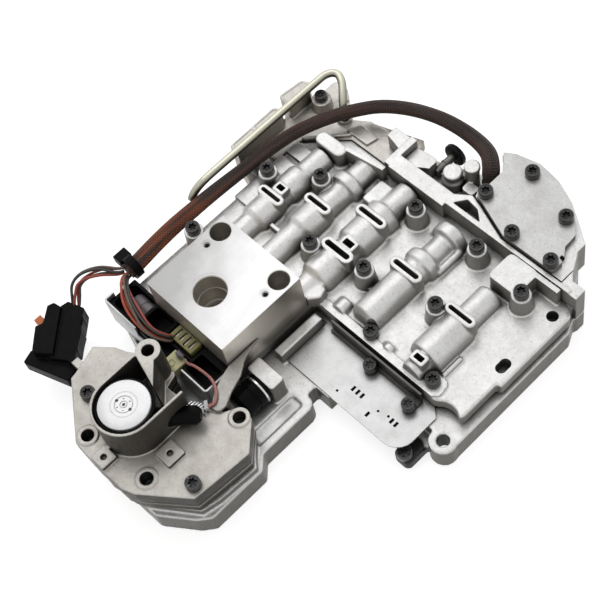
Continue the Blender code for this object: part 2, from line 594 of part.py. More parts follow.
def upper_housing():
    body = prism(DECK_OUTLINE, DECK_FOOT, DECK_TOP)
    low = DECK_TOP - BITE
    adds = [prism(FLANGE_OUTLINE, low, FLANGE_TOP), slot_rim(EXHAUST_SLOT)]
    for column in COLUMNS.values():
        adds += valve_column(column)
    adds += [screw_boss(x, y, BOSS_TOP) for x, y in DECK_SCREWS.values()]
    adds += [
        prism(rectangle(0.0885, 0.1120, 0.0862, 0.1085, 0.003), low, PAD_TOP),
        box(0.1110, 0.1300, 0.1045, 0.1083, low, PAD_TOP),
        turned([(0.0090, 0.0058), (0.0185, 0.0058)], BORE_SIDES, (0.0280, 0, DECK_TOP - BITE), "Y"),
        turned([(0.0090, 0.0052), (0.0140, 0.0052)], BORE_SIDES, (0.0715, 0, DECK_TOP - 3 * BITE), "Y"),
        turned([(0.0700, 0.0027), (0.0930, 0.0027)], SCREW_SIDES, (0.0585, 0, BORE_HEIGHT + BITE), "Y"),
        post(0.1095, 0.0500, 0.0035, low, PAD_TOP - 0.007, SCREW_SIDES),
        box(0.1073, 0.1108, 0.0190, 0.0365, low, DECK_TOP + LOW_RIB),
        prism(rectangle(-0.0190, -0.0060, 0.0790, 0.0985, 0.002), low, PAD_TOP - 0.007),
        prism(rectangle(-0.0760, -0.0500, 0.0895, 0.1000, 0.0048), low, PAD_TOP - 0.001),
        prism([(-0.0520, 0.0965), (-0.0200, 0.1010), (-0.0200, 0.1045), (-0.0520, 0.0998)], low,
              PAD_TOP - 0.0005),
        box(-0.0898, -0.0700, 0.0250, 0.0705, low, DECK_TOP + LOW_RIB),
        box(-0.0898, -0.0700, 0.0745, 0.0860, low, DECK_TOP + LOW_RIB),
        box(-0.0520, -0.0340, 0.0235, 0.0262, low, BORE_HEIGHT + LOW_RIB),
        box(0.0200, 0.0360, 0.0330, 0.0370, low, DECK_TOP + LOW_RIB),
        prism([(-0.0050, -0.0012), (0.0105, -0.0012), (0.0165, 0.0060), (0.0140, 0.0130), (0.0050, 0.0140)],
              low,
              BORE_HEIGHT + 2 * LOW_RIB),
    ]
    join(body, adds)
    cuts = [slot_cutter(EXHAUST_SLOT, BORE_HEIGHT + BITE)]
    for column in COLUMNS.values():
        cuts += column_cutters(column)
    cuts += [screw_hole(x, y, BOSS_TOP, DECK_SCREW_LENGTH) for x, y in DECK_SCREWS.values()]
    cuts += [screw_hole(x, y, FLANGE_TOP) for x, y in FLANGE_SCREWS.values()]
    cuts += [post(x, y, SCREW_HEAD_RADIUS + HEAD_CLEARANCE, FLANGE_TOP, PAD_TOP, 20)
             for x, y in FLANGE_SCREWS.values()]
    cuts += [box(x - wide / 2, x + wide / 2, y - deep / 2, y + deep / 2, BORE_HEIGHT + BITE,
                 PAD_TOP + 0.005)
             for x, y, wide, deep in EXHAUST_PORTS]
    ear_x, ear_y, ear_hole = DECK_EAR
    cuts += [post(ear_x, ear_y, ear_hole, DECK_FOOT - BITE, DECK_TOP + BITE, BORE_SIDES)]
    slot_x, slot_y, wide, deep = DECK_SLOT
    cuts += [prism(rectangle(slot_x - wide / 2, slot_x + wide / 2, slot_y - deep / 2, slot_y + deep / 2,
                             wide * 0.48),
                   DECK_FOOT - BITE, DECK_TOP + BITE)]
    left, right = min(corner[0] for corner in DECK_OUTLINE), max(corner[0] for corner in DECK_OUTLINE)
    front, back = min(corner[1] for corner in DECK_OUTLINE), max(corner[1] for corner in DECK_OUTLINE)
    cuts += [box(left - BITE, right + BITE, front - BITE, back + BITE, 0.0, DECK_FOOT)]
    return named(cut(body, cuts), "upper_housing", CAST, 30.0)


# Valve train in each column, from the blind end: spring, spool, then the plug that its keeper plate holds
def helix(radius, wire, start, end, turns, steps, x):
    """Round-wire spring along Y as one closed tube."""
    bm = bmesh.new()
    rings = []
    sides = 4
    total = turns * steps
    for step in range(total + 1):
        angle = 2 * math.pi * step / steps
        middle = Vector((radius * math.cos(angle), start + (end - start) * step / total,
                         radius * math.sin(angle)))
        out = Vector((math.cos(angle), 0, math.sin(angle)))
        ring = []
        for side in range(sides):
            around = 2 * math.pi * side / sides
            place = middle + out * wire * math.cos(around) + Vector((0, wire * math.sin(around), 0))
            ring.append(bm.verts.new(place + Vector((x, 0, BORE_HEIGHT))))
        rings.append(ring)
    for one, two in zip(rings, rings[1:]):
        for side in range(sides):
            other = (side + 1) % sides
            bm.faces.new((one[side], one[other], two[other], two[side]))
    bm.faces.new(rings[0])
    bm.faces.new(rings[-1])
    return solid(bm)


def valve_train(letter, column):
    """Spring, spool and plug of one column."""
    x = column["x"]
    land = column["bore"] - SPOOL_CLEARANCE
    waist = land * SPOOL_WAIST
    front = spool_front(column)
    third = SPOOL_LENGTH / 3
    spool = turned([(0, land), (third, land), (third, waist), (2 * third, waist), (2 * third, land),
                    (SPOOL_LENGTH, land)], BORE_SIDES, (x, front, BORE_HEIGHT), "Y")
    centred(named(spool, "spool_valve_" + letter, SPOOL_STEEL), (x, front, BORE_HEIGHT))
    reach = column["bore"] - STOP_STEP - SPRING_CLEARANCE - SPRING_WIRE
    start = column["blind"] + GAP + SPRING_WIRE
    end = front - GAP - SPRING_WIRE
    named(helix(reach, SPRING_WIRE, start, end, SPRING_TURNS, SPRING_STEPS, x), "spring_" + letter,
          SPOOL_STEEL, 80.0)
    plug = turned([(0, land), (column["slot_width"] + PLUG_LENGTH, land)], BORE_SIDES,
                  (x, plug_front(column), BORE_HEIGHT), "Y")
    width = column["slot_width"] - KEEPER_CLEARANCE
    keeper = slab(stadium(x, column["slot_y"], column["slot_length"] - KEEPER_CLEARANCE, width),
                  BORE_HEIGHT - SLOT_DEPTH_BELOW_CENTRE + GAP, BORE_HEIGHT + column["bore"])
    named(join(plug, [keeper]), "bore_plug_" + letter, SPOOL_STEEL)


# Suction block on the deck, with its stepped port, two dowel holes, two pin holes and the bracket
# that reaches forward from its side to a post on the lower housing
BRACKET_FOOT = COVER_TOP + GAP
BRACKET_THICKNESS = 0.0042
BRACKET_OUTLINE = [
    (BLOCK_RIGHT - BITE, -0.0500), (0.0250, -0.0500, 0.001), (0.0272, -0.0800, 0.006),
    (0.0334, -0.0870, 0.003), (0.0325, -0.0945, 0.003), (0.0250, -0.0950, 0.003),
    (0.0215, -0.0870, 0.003), (0.0165, -0.0760), (0.0140, -0.0690), (BLOCK_RIGHT - BITE, -0.0690)]
BRACKET_POST = (0.0275, -0.0895, 0.0035)


def suction_block():
    body = prism(rectangle(BLOCK_LEFT, BLOCK_RIGHT, BLOCK_FRONT, BLOCK_BACK, BLOCK_EDGE), BLOCK_FOOT,
                 BLOCK_TOP)
    post_x, post_y, post_radius = BRACKET_POST
    join(body, [prism(BRACKET_OUTLINE, BRACKET_FOOT, BRACKET_FOOT + BRACKET_THICKNESS),
                post(post_x, post_y, post_radius, LOWER_HEIGHT + GAP, BRACKET_FOOT + BITE, 12)])
    near = BLOCK_FRONT + BLOCK_UNDERCUT_DEPTH
    cuts = [
        box(BLOCK_LEFT - BITE, BLOCK_RIGHT + BITE, BLOCK_FRONT - BITE, near, BLOCK_FOOT - BITE,
            BLOCK_FOOT + BLOCK_UNDERCUT_HEIGHT),
        turned([(BLOCK_TOP - PORT_STEP_DEPTH, PORT_STEP_RADIUS), (BLOCK_TOP - PORT_DEPTH, PORT_STEP_RADIUS),
                (BLOCK_TOP - PORT_DEPTH, PORT_RADIUS), (BLOCK_TOP - 3 * BITE, PORT_RADIUS),
                (BLOCK_TOP + BITE, PORT_RADIUS + 2 * BITE)], 32, (PORT_X, PORT_Y, 0)),
    ]
    for x in (-0.0541, 0.0017):
        cuts.append(post(x, -0.0115, DOWEL_RADIUS, BLOCK_TOP - DOWEL_DEPTH, BLOCK_TOP + BITE, 24))
        cuts.append(post(x + BITE, -0.0242, PIN_HOLE_RADIUS, BLOCK_TOP - PIN_HOLE_DEPTH, BLOCK_TOP + BITE,
                         8))
    return named(cut(body, cuts), "suction_block", MACHINED)


# Accumulator body and cover, an eight-cornered stack on the lower housing's pedestal
COVER_OUTLINE = [
    (-0.0675, -0.1195), (-0.0560, -0.1100), (-0.0480, -0.1070), (-0.0300, -0.0960, 0.003),
    (-0.0110, -0.0960, 0.003), (-0.0080, -0.1060), (0.0150, -0.1040), (0.0300, -0.0960),
    (0.0370, -0.0835, 0.004), (0.0480, -0.0840, 0.004), (0.0585, -0.0954), (0.0643, -0.1015),
    (0.0623, -0.1310), (0.0610, -0.1445), (0.0315, -0.1675), (0.0230, -0.1708), (-0.0046, -0.1718),
    (-0.0230, -0.1708), (-0.0605, -0.1440), (-0.0612, -0.1400)]
BODY_SHRINK = 0.985
COVER_HOLES = [(0.0420, -0.0892, 0.0042), (0.0292, -0.1557, 0.0045), (-0.0208, -0.1623, 0.0043)]
COVER_RING_WALL = 0.0028
COVER_RING_RISE = 0.0009
ACCUMULATOR_SCREWS = [(0.0541, -0.1386), (-0.0420, -0.1436)]
ACCUMULATOR_SCREW_LENGTH = 0.0300
STUDS = [(0.0285, -0.1350, 0.0138), (-0.0005, -0.1650, 0.0120)]
STUD_HEIGHT = 0.0032
STUD_HOLE_RADIUS = 0.0022
ARM_RADIUS = 0.0062
ARM_SHARE = 0.3455
ARM_HEIGHT = COVER_TOP + ARM_SHARE * (CAN_TOP - COVER_TOP)
ARM_ANGLE = -45.0
ARM_START = 0.0100
ARM_END = 0.0440
ARM_CLEARANCE = 0.0005
CLIP = (-0.0700, -0.0600, -0.1365, -0.1310)
CLIP_FOOT = COVER_FOOT + 2 * BITE


def scaled(corners, factor):
    """Outline drawn in or out about its own middle, with its fillets kept."""
    middle_x = sum(c[0] for c in corners) / len(corners)
    middle_y = sum(c[1] for c in corners) / len(corners)
    return [(middle_x + (c[0] - middle_x) * factor, middle_y + (c[1] - middle_y) * factor,
             *c[2:]) for c in corners]


def accumulator_body():
    body = prism(scaled(COVER_OUTLINE, BODY_SHRINK), ACCUMULATOR_FOOT, ACCUMULATOR_TOP)
    cuts = [post(x, y, radius, ACCUMULATOR_FOOT - BITE, ACCUMULATOR_TOP + BITE, BORE_SIDES)
            for x, y, radius in COVER_HOLES]
    cuts += [post(x, y, SCREW_SHANK_RADIUS + SCREW_HOLE_CLEARANCE, ACCUMULATOR_FOOT - BITE,
                  ACCUMULATOR_TOP + BITE,
                  SCREW_SIDES) for x, y in ACCUMULATOR_SCREWS]
    return named(cut(body, cuts), "accumulator_body", CAST_WARM)


def arm(radius, start, end):
    """Side arm of the solenoid, lying level and pointing away from the nest's centre."""
    made = turned([(start, radius), (end - radius / 2, radius), (end, radius * 0.6)], 12, (0, 0, 0), "Y")
    place = Matrix.Translation((NEST_X, NEST_Y, ARM_HEIGHT)) @ Matrix.Rotation(math.radians(ARM_ANGLE), 4,
                                                                               "Z")
    made.data.transform(place)
    return made


def accumulator_cover():
    """Cover plate with the wall that nests the solenoid, an ear, ringed holes and square studs."""
    body = prism(COVER_OUTLINE, COVER_FOOT, COVER_TOP)
    low = COVER_TOP - BITE
    inner = NEST_RADIUS - NEST_WALL
    wall = ([(NEST_X + NEST_RADIUS, NEST_RIGHT_END)] + arc(NEST_X, NEST_Y, NEST_RADIUS, 0, -180, 20)
            + [(NEST_X - NEST_RADIUS, EAR_Y), (NEST_X - inner, EAR_Y)]
            + arc(NEST_X, NEST_Y, inner, -180, 0, 20) + [(NEST_X + inner, NEST_RIGHT_END)])
    adds = [slab(wall, low, NEST_TOP), post(EAR_X, EAR_Y, EAR_RADIUS, low, NEST_TOP, 24)]
    adds.append(prism([(EAR_X - 0.0010, EAR_Y - EAR_RADIUS), (0.0012, -0.1166),
                       (EAR_X + EAR_RADIUS, EAR_Y - 0.0020)],
                      low, NEST_TOP))
    adds += [post(x, y, radius + COVER_RING_WALL, low, COVER_TOP + COVER_RING_RISE, 24) for x, y,
             radius in COVER_HOLES]
    adds += [prism(rectangle(x - side / 2, x + side / 2, y - side / 2, y + side / 2, 0.001), low,
                   COVER_TOP + STUD_HEIGHT)
             for x, y, side in STUDS]
    left, right, front, back = CLIP
    adds.append(box(left, right, front, back, CLIP_FOOT, low - BITE))
    join(body, adds)
    cuts = [post(x, y, radius, COVER_FOOT - BITE, COVER_TOP + 2 * COVER_RING_RISE, BORE_SIDES)
            for x, y, radius in COVER_HOLES]
    cuts += [post(EAR_X, EAR_Y, EAR_HOLE_RADIUS, NEST_TOP - EAR_HOLE_DEPTH, NEST_TOP + BITE, BORE_SIDES)]
    cuts += [post(x, y, STUD_HOLE_RADIUS, COVER_TOP, COVER_TOP + 2 * STUD_HEIGHT, 8) for x, y,
             side in STUDS]
    cuts += [post(x, y, SCREW_SHANK_RADIUS + SCREW_HOLE_CLEARANCE, COVER_FOOT - BITE, COVER_TOP + BITE,
                  SCREW_SIDES) for x, y in ACCUMULATOR_SCREWS]
    cuts.append(arm(ARM_RADIUS + ARM_CLEARANCE, ARM_START, ARM_END))
    return named(cut(body, cuts), "accumulator_cover", CAST_WARM, 30.0)


def solenoid_can():
    """Black can in the nest with its side arm and the rim that holds the cap."""
    foot = COVER_TOP + GAP
    seat = CAP_TOP - CAP_SKIRT
    can = turned([(foot, CAN_RADIUS), (CAN_TOP, CAN_RADIUS), (CAN_TOP, CAP_RADIUS + GAP),
                  (seat - GAP, CAP_RADIUS + GAP),
                  (seat - GAP, 0)], 32, (NEST_X, NEST_Y, 0))
    return named(join(can, [arm(ARM_RADIUS, ARM_START, ARM_END)]), "solenoid_can", BLACK)


def solenoid_cap():
    """White cap with a shallow dish, a hub, its centre hole and two small holes."""
    cap = turned([(CAP_TOP - CAP_SKIRT, CAP_RADIUS), (CAP_TOP - 0.0008, CAP_RADIUS),
                  (CAP_TOP, CAP_RADIUS - 0.0008),
                  (CAP_TOP, 0)], 32, (NEST_X, NEST_Y, 0))
    groove = turned([(CAP_TOP - 0.0006, CAP_HUB_RADIUS + 0.0008),
                     (CAP_TOP + BITE, CAP_HUB_RADIUS + 0.0008)],
                    20, (NEST_X, NEST_Y, 0))
    hub = turned([(CAP_TOP - 0.0012, CAP_HUB_RADIUS), (CAP_TOP - 0.0001, CAP_HUB_RADIUS)], 20,
                 (NEST_X, NEST_Y, 0))
    holes = [post(NEST_X + x, NEST_Y + y, radius, CAP_TOP - 0.0025, CAP_TOP + BITE, 8)
             for x, y, radius in ((0, 0, 0.0016), (0.0054, 0.0006, 0.0011), (-0.0054, -0.0012, 0.0011))]
    return named(cut(join(cut(cap, [groove]), [hub]), holes), "solenoid_cap", WHITE)


# Rear housing with its cover
REAR_OUTLINE = [
    (0.0400, 0.1262, 0.003), (0.0500, 0.1235), (0.0545, 0.1217), (0.0775, 0.1131), (0.1262, 0.1131),
    (0.1262, 0.1250), (0.1195, 0.1370), (0.1195, 0.1440), (0.1050, 0.1545), (0.0920, 0.1630),
    (0.0765, 0.1695), (0.0590, 0.1720), (0.0410, 0.1680), (0.0330, 0.1620), (0.0375, 0.1575),
    (0.0435, 0.1500), (0.0435, 0.1370)]
REAR_COVER_OUTLINE = [
    (0.0400, 0.1262, 0.005), (0.0500, 0.1235), (0.0545, 0.1217), (0.0775, 0.1131),
    (0.1186, 0.1131, 0.002), (0.1186, 0.1225), (0.1150, 0.1240), (0.1150, 0.1262), (0.1172, 0.1262),
    (0.1125, 0.1325), (0.1120, 0.1430, 0.003), (0.1030, 0.1530), (0.0910, 0.1615), (0.0760, 0.1680),
    (0.0590, 0.1705), (0.0415, 0.1665), (0.0340, 0.1620), (0.0385, 0.1570), (0.0440, 0.1500),
    (0.0440, 0.1365)]
REAR_WING = [(-0.0130, 0.1192), (0.0410, 0.1262), (0.0445, 0.1390), (-0.0090, 0.1390), (-0.0180, 0.1310)]
REAR_WING_TOP = 0.0370
REAR_WING_POCKET = [(0.0020, 0.1215), (0.0190, 0.1240), (0.0110, 0.1345, 0.002)]
REAR_PIN = (0.0305, 0.1345, 0.0044)
REAR_PIN_TOP = 0.0480
REAR_SCREWS = {
    "cover_screw_1": (0.0995, 0.1486), "cover_screw_2": (0.0812, 0.1174), "cover_screw_3": (0.1136, 0.1174),
    "cover_screw_4": (0.0475, 0.1300), "cover_screw_5": (0.0604, 0.1609)}


def rear_housing():
    body = prism(REAR_OUTLINE, PLATE_FOOT, REAR_HOUSING_TOP)
    pin_x, pin_y, pin_radius = REAR_PIN
    join(body, [prism(REAR_WING, PLATE_FOOT, REAR_WING_TOP),
                post(pin_x, pin_y, pin_radius, REAR_WING_TOP - BITE, REAR_PIN_TOP, 16)])
    cuts = [screw_hole(x, y, REAR_COVER_TOP) for x, y in REAR_SCREWS.values()]
    cuts.append(prism(REAR_WING_POCKET, REAR_WING_TOP - 0.0150, REAR_WING_TOP + BITE))
    pipe_x, pipe_y, pipe_z = PIPE_PLACE
    cuts.append(turned([(0, PIPE_RADIUS + GAP), (PIPE_LENGTH, PIPE_RADIUS + GAP)], 12,
                       (pipe_x, pipe_y - GAP, pipe_z),
                       "Y"))
    return named(cut(body, cuts), "rear_housing", CAST)


def rear_cover():
    body = prism(REAR_COVER_OUTLINE, REAR_COVER_FOOT, REAR_COVER_TOP)
    holes = [screw_hole(x, y, REAR_COVER_TOP) for x, y in REAR_SCREWS.values()]
    return named(cut(body, holes), "rear_cover", CAST)


PIPE_PLACE = (0.0010, 0.1300, 0.0290)
PIPE_RADIUS = 0.0027
PIPE_LENGTH = 0.0220
PIPE_SEAL_RADIUS = 0.0085
PIPE_SEAL_LENGTH = 0.0050


def transfer_pipe():
    """Short oil pipe out of the rear housing, with the seal on its end."""
    end = PIPE_LENGTH
    body = turned([(0, PIPE_RADIUS), (end - PIPE_SEAL_LENGTH, PIPE_RADIUS),
                   (end - PIPE_SEAL_LENGTH, PIPE_SEAL_RADIUS), (end, PIPE_SEAL_RADIUS)], 16, PIPE_PLACE, "Y")
    return named(body, "transfer_pipe", RUBBER)


# Bridge casting: bars behind the valve columns, gusset with its window, leg and end block
BRIDGE_TOP = 0.0450
BRIDGE_FOOT = DECK_TOP + GAP
GUSSET = [
    (0.0200, 0.1095), (0.0775, 0.1095), (0.0765, 0.1122), (0.0542, 0.1204), (0.0497, 0.1222),
    (0.0400, 0.1250), (0.0300, 0.1180), (0.0200, 0.1180)]
END_RIGHT = 0.1414
END_BACK = 0.1180
END_SKIRT = 0.0030
BARS = [
    (0.0205, 0.1350, 0.1090, 0.1121), (-0.0190, 0.0305, 0.1060, 0.1180), (-0.0240, -0.0185, 0.1070, 0.1340)]
BAR_END = [(-0.0385, 0.1250), (-0.0235, 0.1215), (-0.0235, 0.1335), (-0.0385, 0.1335)]
BAR_END_DROP = 0.0015
END_FRONT = 0.1090
END_LEFT = 0.1266
END_DROP = 0.0008
GUSSET_WINDOW = [(0.0340, 0.1125), (0.0580, 0.1125), (0.0500, 0.1190), (0.0400, 0.1205)]


def bridge_casting():
    body = prism(GUSSET, BRIDGE_FOOT, BRIDGE_TOP)
    end = [(END_LEFT, END_FRONT), (END_RIGHT, END_FRONT), (END_RIGHT, END_BACK),
           (END_LEFT + 1.5 * END_SKIRT, END_BACK), (END_LEFT, END_BACK + 2 * END_SKIRT)]
    join(body, [
        *[box(*bar, BRIDGE_FOOT, BRIDGE_TOP) for bar in BARS],
        prism(BAR_END, BRIDGE_FOOT, BRIDGE_TOP - BAR_END_DROP),
        prism(end, BRIDGE_FOOT, BRIDGE_TOP - END_DROP),
        box(END_RIGHT - END_SKIRT, END_RIGHT, END_FRONT + BITE, END_BACK, LOWER_HEIGHT + GAP,
            BRIDGE_FOOT + BITE),
    ])
    window = prism(GUSSET_WINDOW, BRIDGE_FOOT - BITE, BRIDGE_TOP + BITE)
    return named(cut(body, [window]), "bridge_casting", CAST)


# Side casting beyond the deck's left edge, which takes the steel tube
SIDE_OUTLINE = [
    (-0.1140, 0.0600, 0.003), (-0.1085, 0.0450), (-0.0905, 0.0400), (-0.0905, 0.0873), (-0.0624, 0.1124),
    (-0.0200, 0.1124), (-0.0200, 0.1345), (-0.0240, 0.1450), (-0.0620, 0.1330), (-0.0760, 0.1240),
    (-0.0960, 0.1420, 0.004), (-0.1085, 0.1420, 0.003), (-0.1085, 0.1180), (-0.1130, 0.1170, 0.002),
    (-0.1130, 0.0870, 0.002), (-0.1090, 0.0840), (-0.1140, 0.0810, 0.002)]
SIDE_TOP = 0.0300
SIDE_STEP = 0.0020
SIDE_BOSS = (-0.0985, 0.1195, 0.0072)
SIDE_BOSS_TOP = 0.0400
TUBE_SOCKET = (-0.0782, 0.1213)
TUBE_SEAT_DEPTH = 0.0060
SIDE_BLOCKS = [
    [(-0.1150, 0.0975), (-0.1235, 0.1088, 0.003), (-0.1222, 0.1185, 0.003), (-0.1142, 0.1234, 0.002),
     (-0.1046, 0.1140), (-0.1085, 0.1000)],
    [(-0.1085, 0.0400), (-0.1160, 0.0500, 0.003), (-0.1180, 0.0770, 0.003), (-0.1145, 0.0940, 0.003),
     (-0.1085, 0.0940)]]
SIDE_BLOCK_TOP = 0.0440


def side_casting():
    body = prism(SIDE_OUTLINE, PLATE_FOOT, SIDE_TOP)
    x, y, radius = SIDE_BOSS
    socket_x, socket_y = TUBE_SOCKET
    join(body, [
        post(x, y, radius, SIDE_TOP - BITE, SIDE_BOSS_TOP, 14),
        turned([(SIDE_BOSS_TOP - BITE, SCREW_HEAD_RADIUS),
                (SIDE_BOSS_TOP + SCREW_HEAD_HEIGHT, SCREW_HEAD_RADIUS)],
               SCREW_SIDES, (x, y, 0)),
        prism(rectangle(-0.1090, -0.0905, 0.0480, 0.0540, 0.001), SIDE_TOP - BITE,
              SIDE_TOP + 2 * SIDE_STEP),
        prism([(-0.0700, 0.1150), (-0.0500, 0.1150), (-0.0480, 0.1240), (-0.0660, 0.1250)], SIDE_TOP - BITE,
              SIDE_TOP + SIDE_STEP),
        *[prism(block, PLATE_FOOT, SIDE_BLOCK_TOP) for block in SIDE_BLOCKS],
    ])
    step = prism([(-0.0950, 0.1300), (-0.0220, 0.1355), (-0.0150, 0.1500), (-0.0700, 0.1500)],
                 SIDE_TOP - SIDE_STEP,
                 SIDE_TOP + BITE)
    seat = post(socket_x, socket_y, TUBE_RADIUS + GAP, SIDE_TOP - TUBE_SEAT_DEPTH, SIDE_TOP + BITE, 14)
    return named(cut(body, [step, seat]), "side_casting", CAST_WARM)


# Steel tray in front of the suction block, the switch housing in it and the cream connector
TRAY_LEFT = -0.0900
TRAY_RIGHT = 0.0130
TRAY_FRONT = -0.0922
TRAY_BACK = -0.0668
TRAY_WALL = 0.0016
TRAY_TOP = 0.0440
TRAY_DIP = 0.0330
TRAY_DIP_SPAN = (-0.0570, -0.0115)
HOUSING_TOP = 0.0400
TERMINAL_SPAN = (-0.0370, -0.0200)
TERMINAL_TOP = 0.0425
CREAM_SPAN = (-0.0262, -0.0146)
CREAM_FRONT = -0.0950
CREAM_BACK = -0.0822


def steel_tray():
    foot = LOWER_HEIGHT + GAP
    body = box(TRAY_LEFT, TRAY_RIGHT, TRAY_FRONT, TRAY_BACK, foot, foot + TRAY_WALL)
    join(body, [
        box(TRAY_LEFT, TRAY_RIGHT, TRAY_FRONT, TRAY_FRONT + TRAY_WALL, foot, TRAY_TOP),
        box(TRAY_RIGHT - TRAY_WALL, TRAY_RIGHT, TRAY_FRONT, TRAY_BACK, foot, TRAY_TOP),
        box(TRAY_LEFT, TRAY_LEFT + TRAY_WALL, TRAY_FRONT, TRAY_FRONT + 0.0085, foot, TRAY_TOP),
    ])
    left, right = TRAY_DIP_SPAN
    dip = box(left, right, TRAY_FRONT - BITE, TRAY_FRONT + TRAY_WALL + BITE, TRAY_DIP, TRAY_TOP + BITE)
    return named(cut(body, [dip]), "steel_tray", SHEET)


def switch_housing():
    foot = LOWER_HEIGHT + 2 * GAP + TRAY_WALL
    front = TRAY_FRONT + TRAY_WALL + GAP
    back = TRAY_BACK
    body = box(TRAY_LEFT + TRAY_WALL + GAP, TRAY_RIGHT - TRAY_WALL - GAP, front, back, foot, HOUSING_TOP)
    left, right = TERMINAL_SPAN
    terminal = box(left, right, CREAM_BACK + GAP, back - 0.0030, HOUSING_TOP - BITE, TERMINAL_TOP)
    join(body, [terminal])
    pockets = [
        prism(rectangle(-0.0620, -0.0450, -0.0860, -0.0700, 0.002), HOUSING_TOP - 0.0080,
              HOUSING_TOP + BITE),
        prism(rectangle(-0.0840, -0.0700, -0.0880, -0.0720, 0.002), HOUSING_TOP - 0.0060,
              HOUSING_TOP + BITE),
        prism(rectangle(-0.0080, 0.0080, -0.0880, -0.0740, 0.002), HOUSING_TOP - 0.0100,
              HOUSING_TOP + BITE),
        box(CREAM_SPAN[0] - GAP, CREAM_SPAN[1] + GAP, front - BITE, CREAM_BACK + GAP, TRAY_DIP,
            HOUSING_TOP + BITE),
    ]
    return named(cut(body, pockets), "switch_housing", BLACK)


def cream_connector():
    left, right = CREAM_SPAN
    foot = TRAY_DIP + GAP
    body = prism(rectangle(left, right, CREAM_FRONT, CREAM_BACK, 0.0006), foot, foot + 0.0085)
    return named(body, "cream_connector", CREAM)


# Lock-up solenoid against the lug of the lower housing
LOCKUP_X = 0.0285
LOCKUP_Z = 0.0288
LOCKUP_RADIUS = 0.0102
LOCKUP_FRONT = -0.0820
LOCKUP_RING_RISE = 0.0006


def lockup_solenoid():
    back = LUG_FRONT - GAP
    shoulder = back - 0.0035
    body = turned([(LOCKUP_FRONT, LOCKUP_RADIUS * 0.82), (LOCKUP_FRONT + 0.0025, LOCKUP_RADIUS),
                   (shoulder, LOCKUP_RADIUS),
                   (shoulder, LOCKUP_RADIUS + LOCKUP_RING_RISE), (back, LOCKUP_RADIUS + LOCKUP_RING_RISE)],
                  20, (LOCKUP_X, 0, LOCKUP_Z), "Y")
    return named(body, "lockup_solenoid", BLACK)


# Harness connector with its orange lock
CONNECTOR_FOOT = 0.0200
CONNECTOR_TOP = 0.0376
CONNECTOR_STEP = 0.0060
CONNECTOR_OUTLINE = [
    (-0.1120, -0.1110), (-0.1005, -0.1045), (-0.0910, -0.1110, 0.002), (-0.0880, -0.1160),
    (-0.0785, -0.1260), (-0.0725, -0.1330), (-0.0693, -0.1455, 0.002), (-0.1047, -0.1581, 0.002),
    (-0.1134, -0.1388), (-0.1170, -0.1276), (-0.1185, -0.1195)]
LATCH_OUTLINE = [
    (-0.1204, -0.1188), (-0.1145, -0.1104), (-0.0995, -0.1036), (-0.0914, -0.1095), (-0.0884, -0.1148),
    (-0.0790, -0.1265), (-0.1000, -0.1385), (-0.1150, -0.1285)]
TAB_REACH = 0.0100
TAB_GRIP = 0.0055
LOCK_LEFT = -0.1228
LOCK_RIGHT = -0.1120
LOCK_FRONT = -0.1318
LOCK_BACK = -0.1262
LOCK_DROP = 0.0030
LOCK_LIFT = 0.0020
LOCK_TRAVEL = 0.0020


def harness_connector():
    body = prism(CONNECTOR_OUTLINE, CONNECTOR_FOOT, CONNECTOR_TOP - CONNECTOR_STEP)
    latch = prism(LATCH_OUTLINE, CONNECTOR_FOOT + CONNECTOR_STEP, CONNECTOR_TOP)
    clip_left, clip_right, clip_front, clip_back = CLIP
    tab = box(clip_left - TAB_REACH, clip_left + TAB_GRIP, clip_front + GAP, clip_back - GAP,
              CONNECTOR_FOOT + CONNECTOR_STEP, CLIP_FOOT - GAP)
    join(body, [latch, tab])
    middle = (CONNECTOR_FOOT + CONNECTOR_TOP) / 2
    pocket = box(LOCK_LEFT - LOCK_TRAVEL, LOCK_RIGHT + GAP, LOCK_FRONT - GAP, LOCK_BACK + GAP,
                 middle - LOCK_DROP - GAP, middle + LOCK_LIFT + GAP)
    return named(cut(body, [pocket]), "harness_connector", BLACK)


def connector_lock():
    middle = (CONNECTOR_FOOT + CONNECTOR_TOP) / 2
    body = box(LOCK_LEFT, LOCK_RIGHT, LOCK_FRONT, LOCK_BACK, middle - LOCK_DROP, middle + LOCK_LIFT)
    return centred(named(body, "connector_lock", ORANGE),
                   (LOCK_RIGHT, (LOCK_FRONT + LOCK_BACK) / 2, middle))


# Harness: braided sleeve, its tie, two bunches of wires, the pink wire and the steel tube
SLEEVE_ROUTE = [
    (-0.0965, -0.0660, 0.0400), (-0.0966, -0.0560, 0.0400), (-0.0978, -0.0400, 0.0405),
    (-0.0985, -0.0200, 0.0410), (-0.0982, 0.0050, 0.0410), (-0.0972, 0.0250, 0.0410),
    (-0.0956, 0.0452, 0.0412), (-0.0934, 0.0658, 0.0422), (-0.0893, 0.0862, 0.0430),
    (-0.0815, 0.1055, 0.0436), (-0.0712, 0.1237, 0.0436), (-0.0585, 0.1392, 0.0436),
    (-0.0412, 0.1505, 0.0436), (-0.0210, 0.1576, 0.0440), (-0.0025, 0.1600, 0.0445),
    (0.0142, 0.1590, 0.0455), (0.0266, 0.1545, 0.0480), (0.0345, 0.1475, 0.0490),
    (0.0372, 0.1445, 0.0450)]
TUBE_ROUTE = [
    (-0.1072, 0.0020, 0.0385), (-0.1071, 0.0050, 0.0425), (-0.1062, 0.0110, 0.0468),
    (-0.1053, 0.0200, 0.0493), (-0.1049, 0.0400, 0.0500), (-0.1049, 0.0800, 0.0500),
    (-0.1049, 0.1200, 0.0500), (-0.1040, 0.1320, 0.0500), (-0.0990, 0.1372, 0.0495),
    (-0.0915, 0.1345, 0.0480), (-0.0830, 0.1262, 0.0430), (-0.0785, 0.1217, 0.0350),
    (-0.0782, 0.1213, 0.0250)]
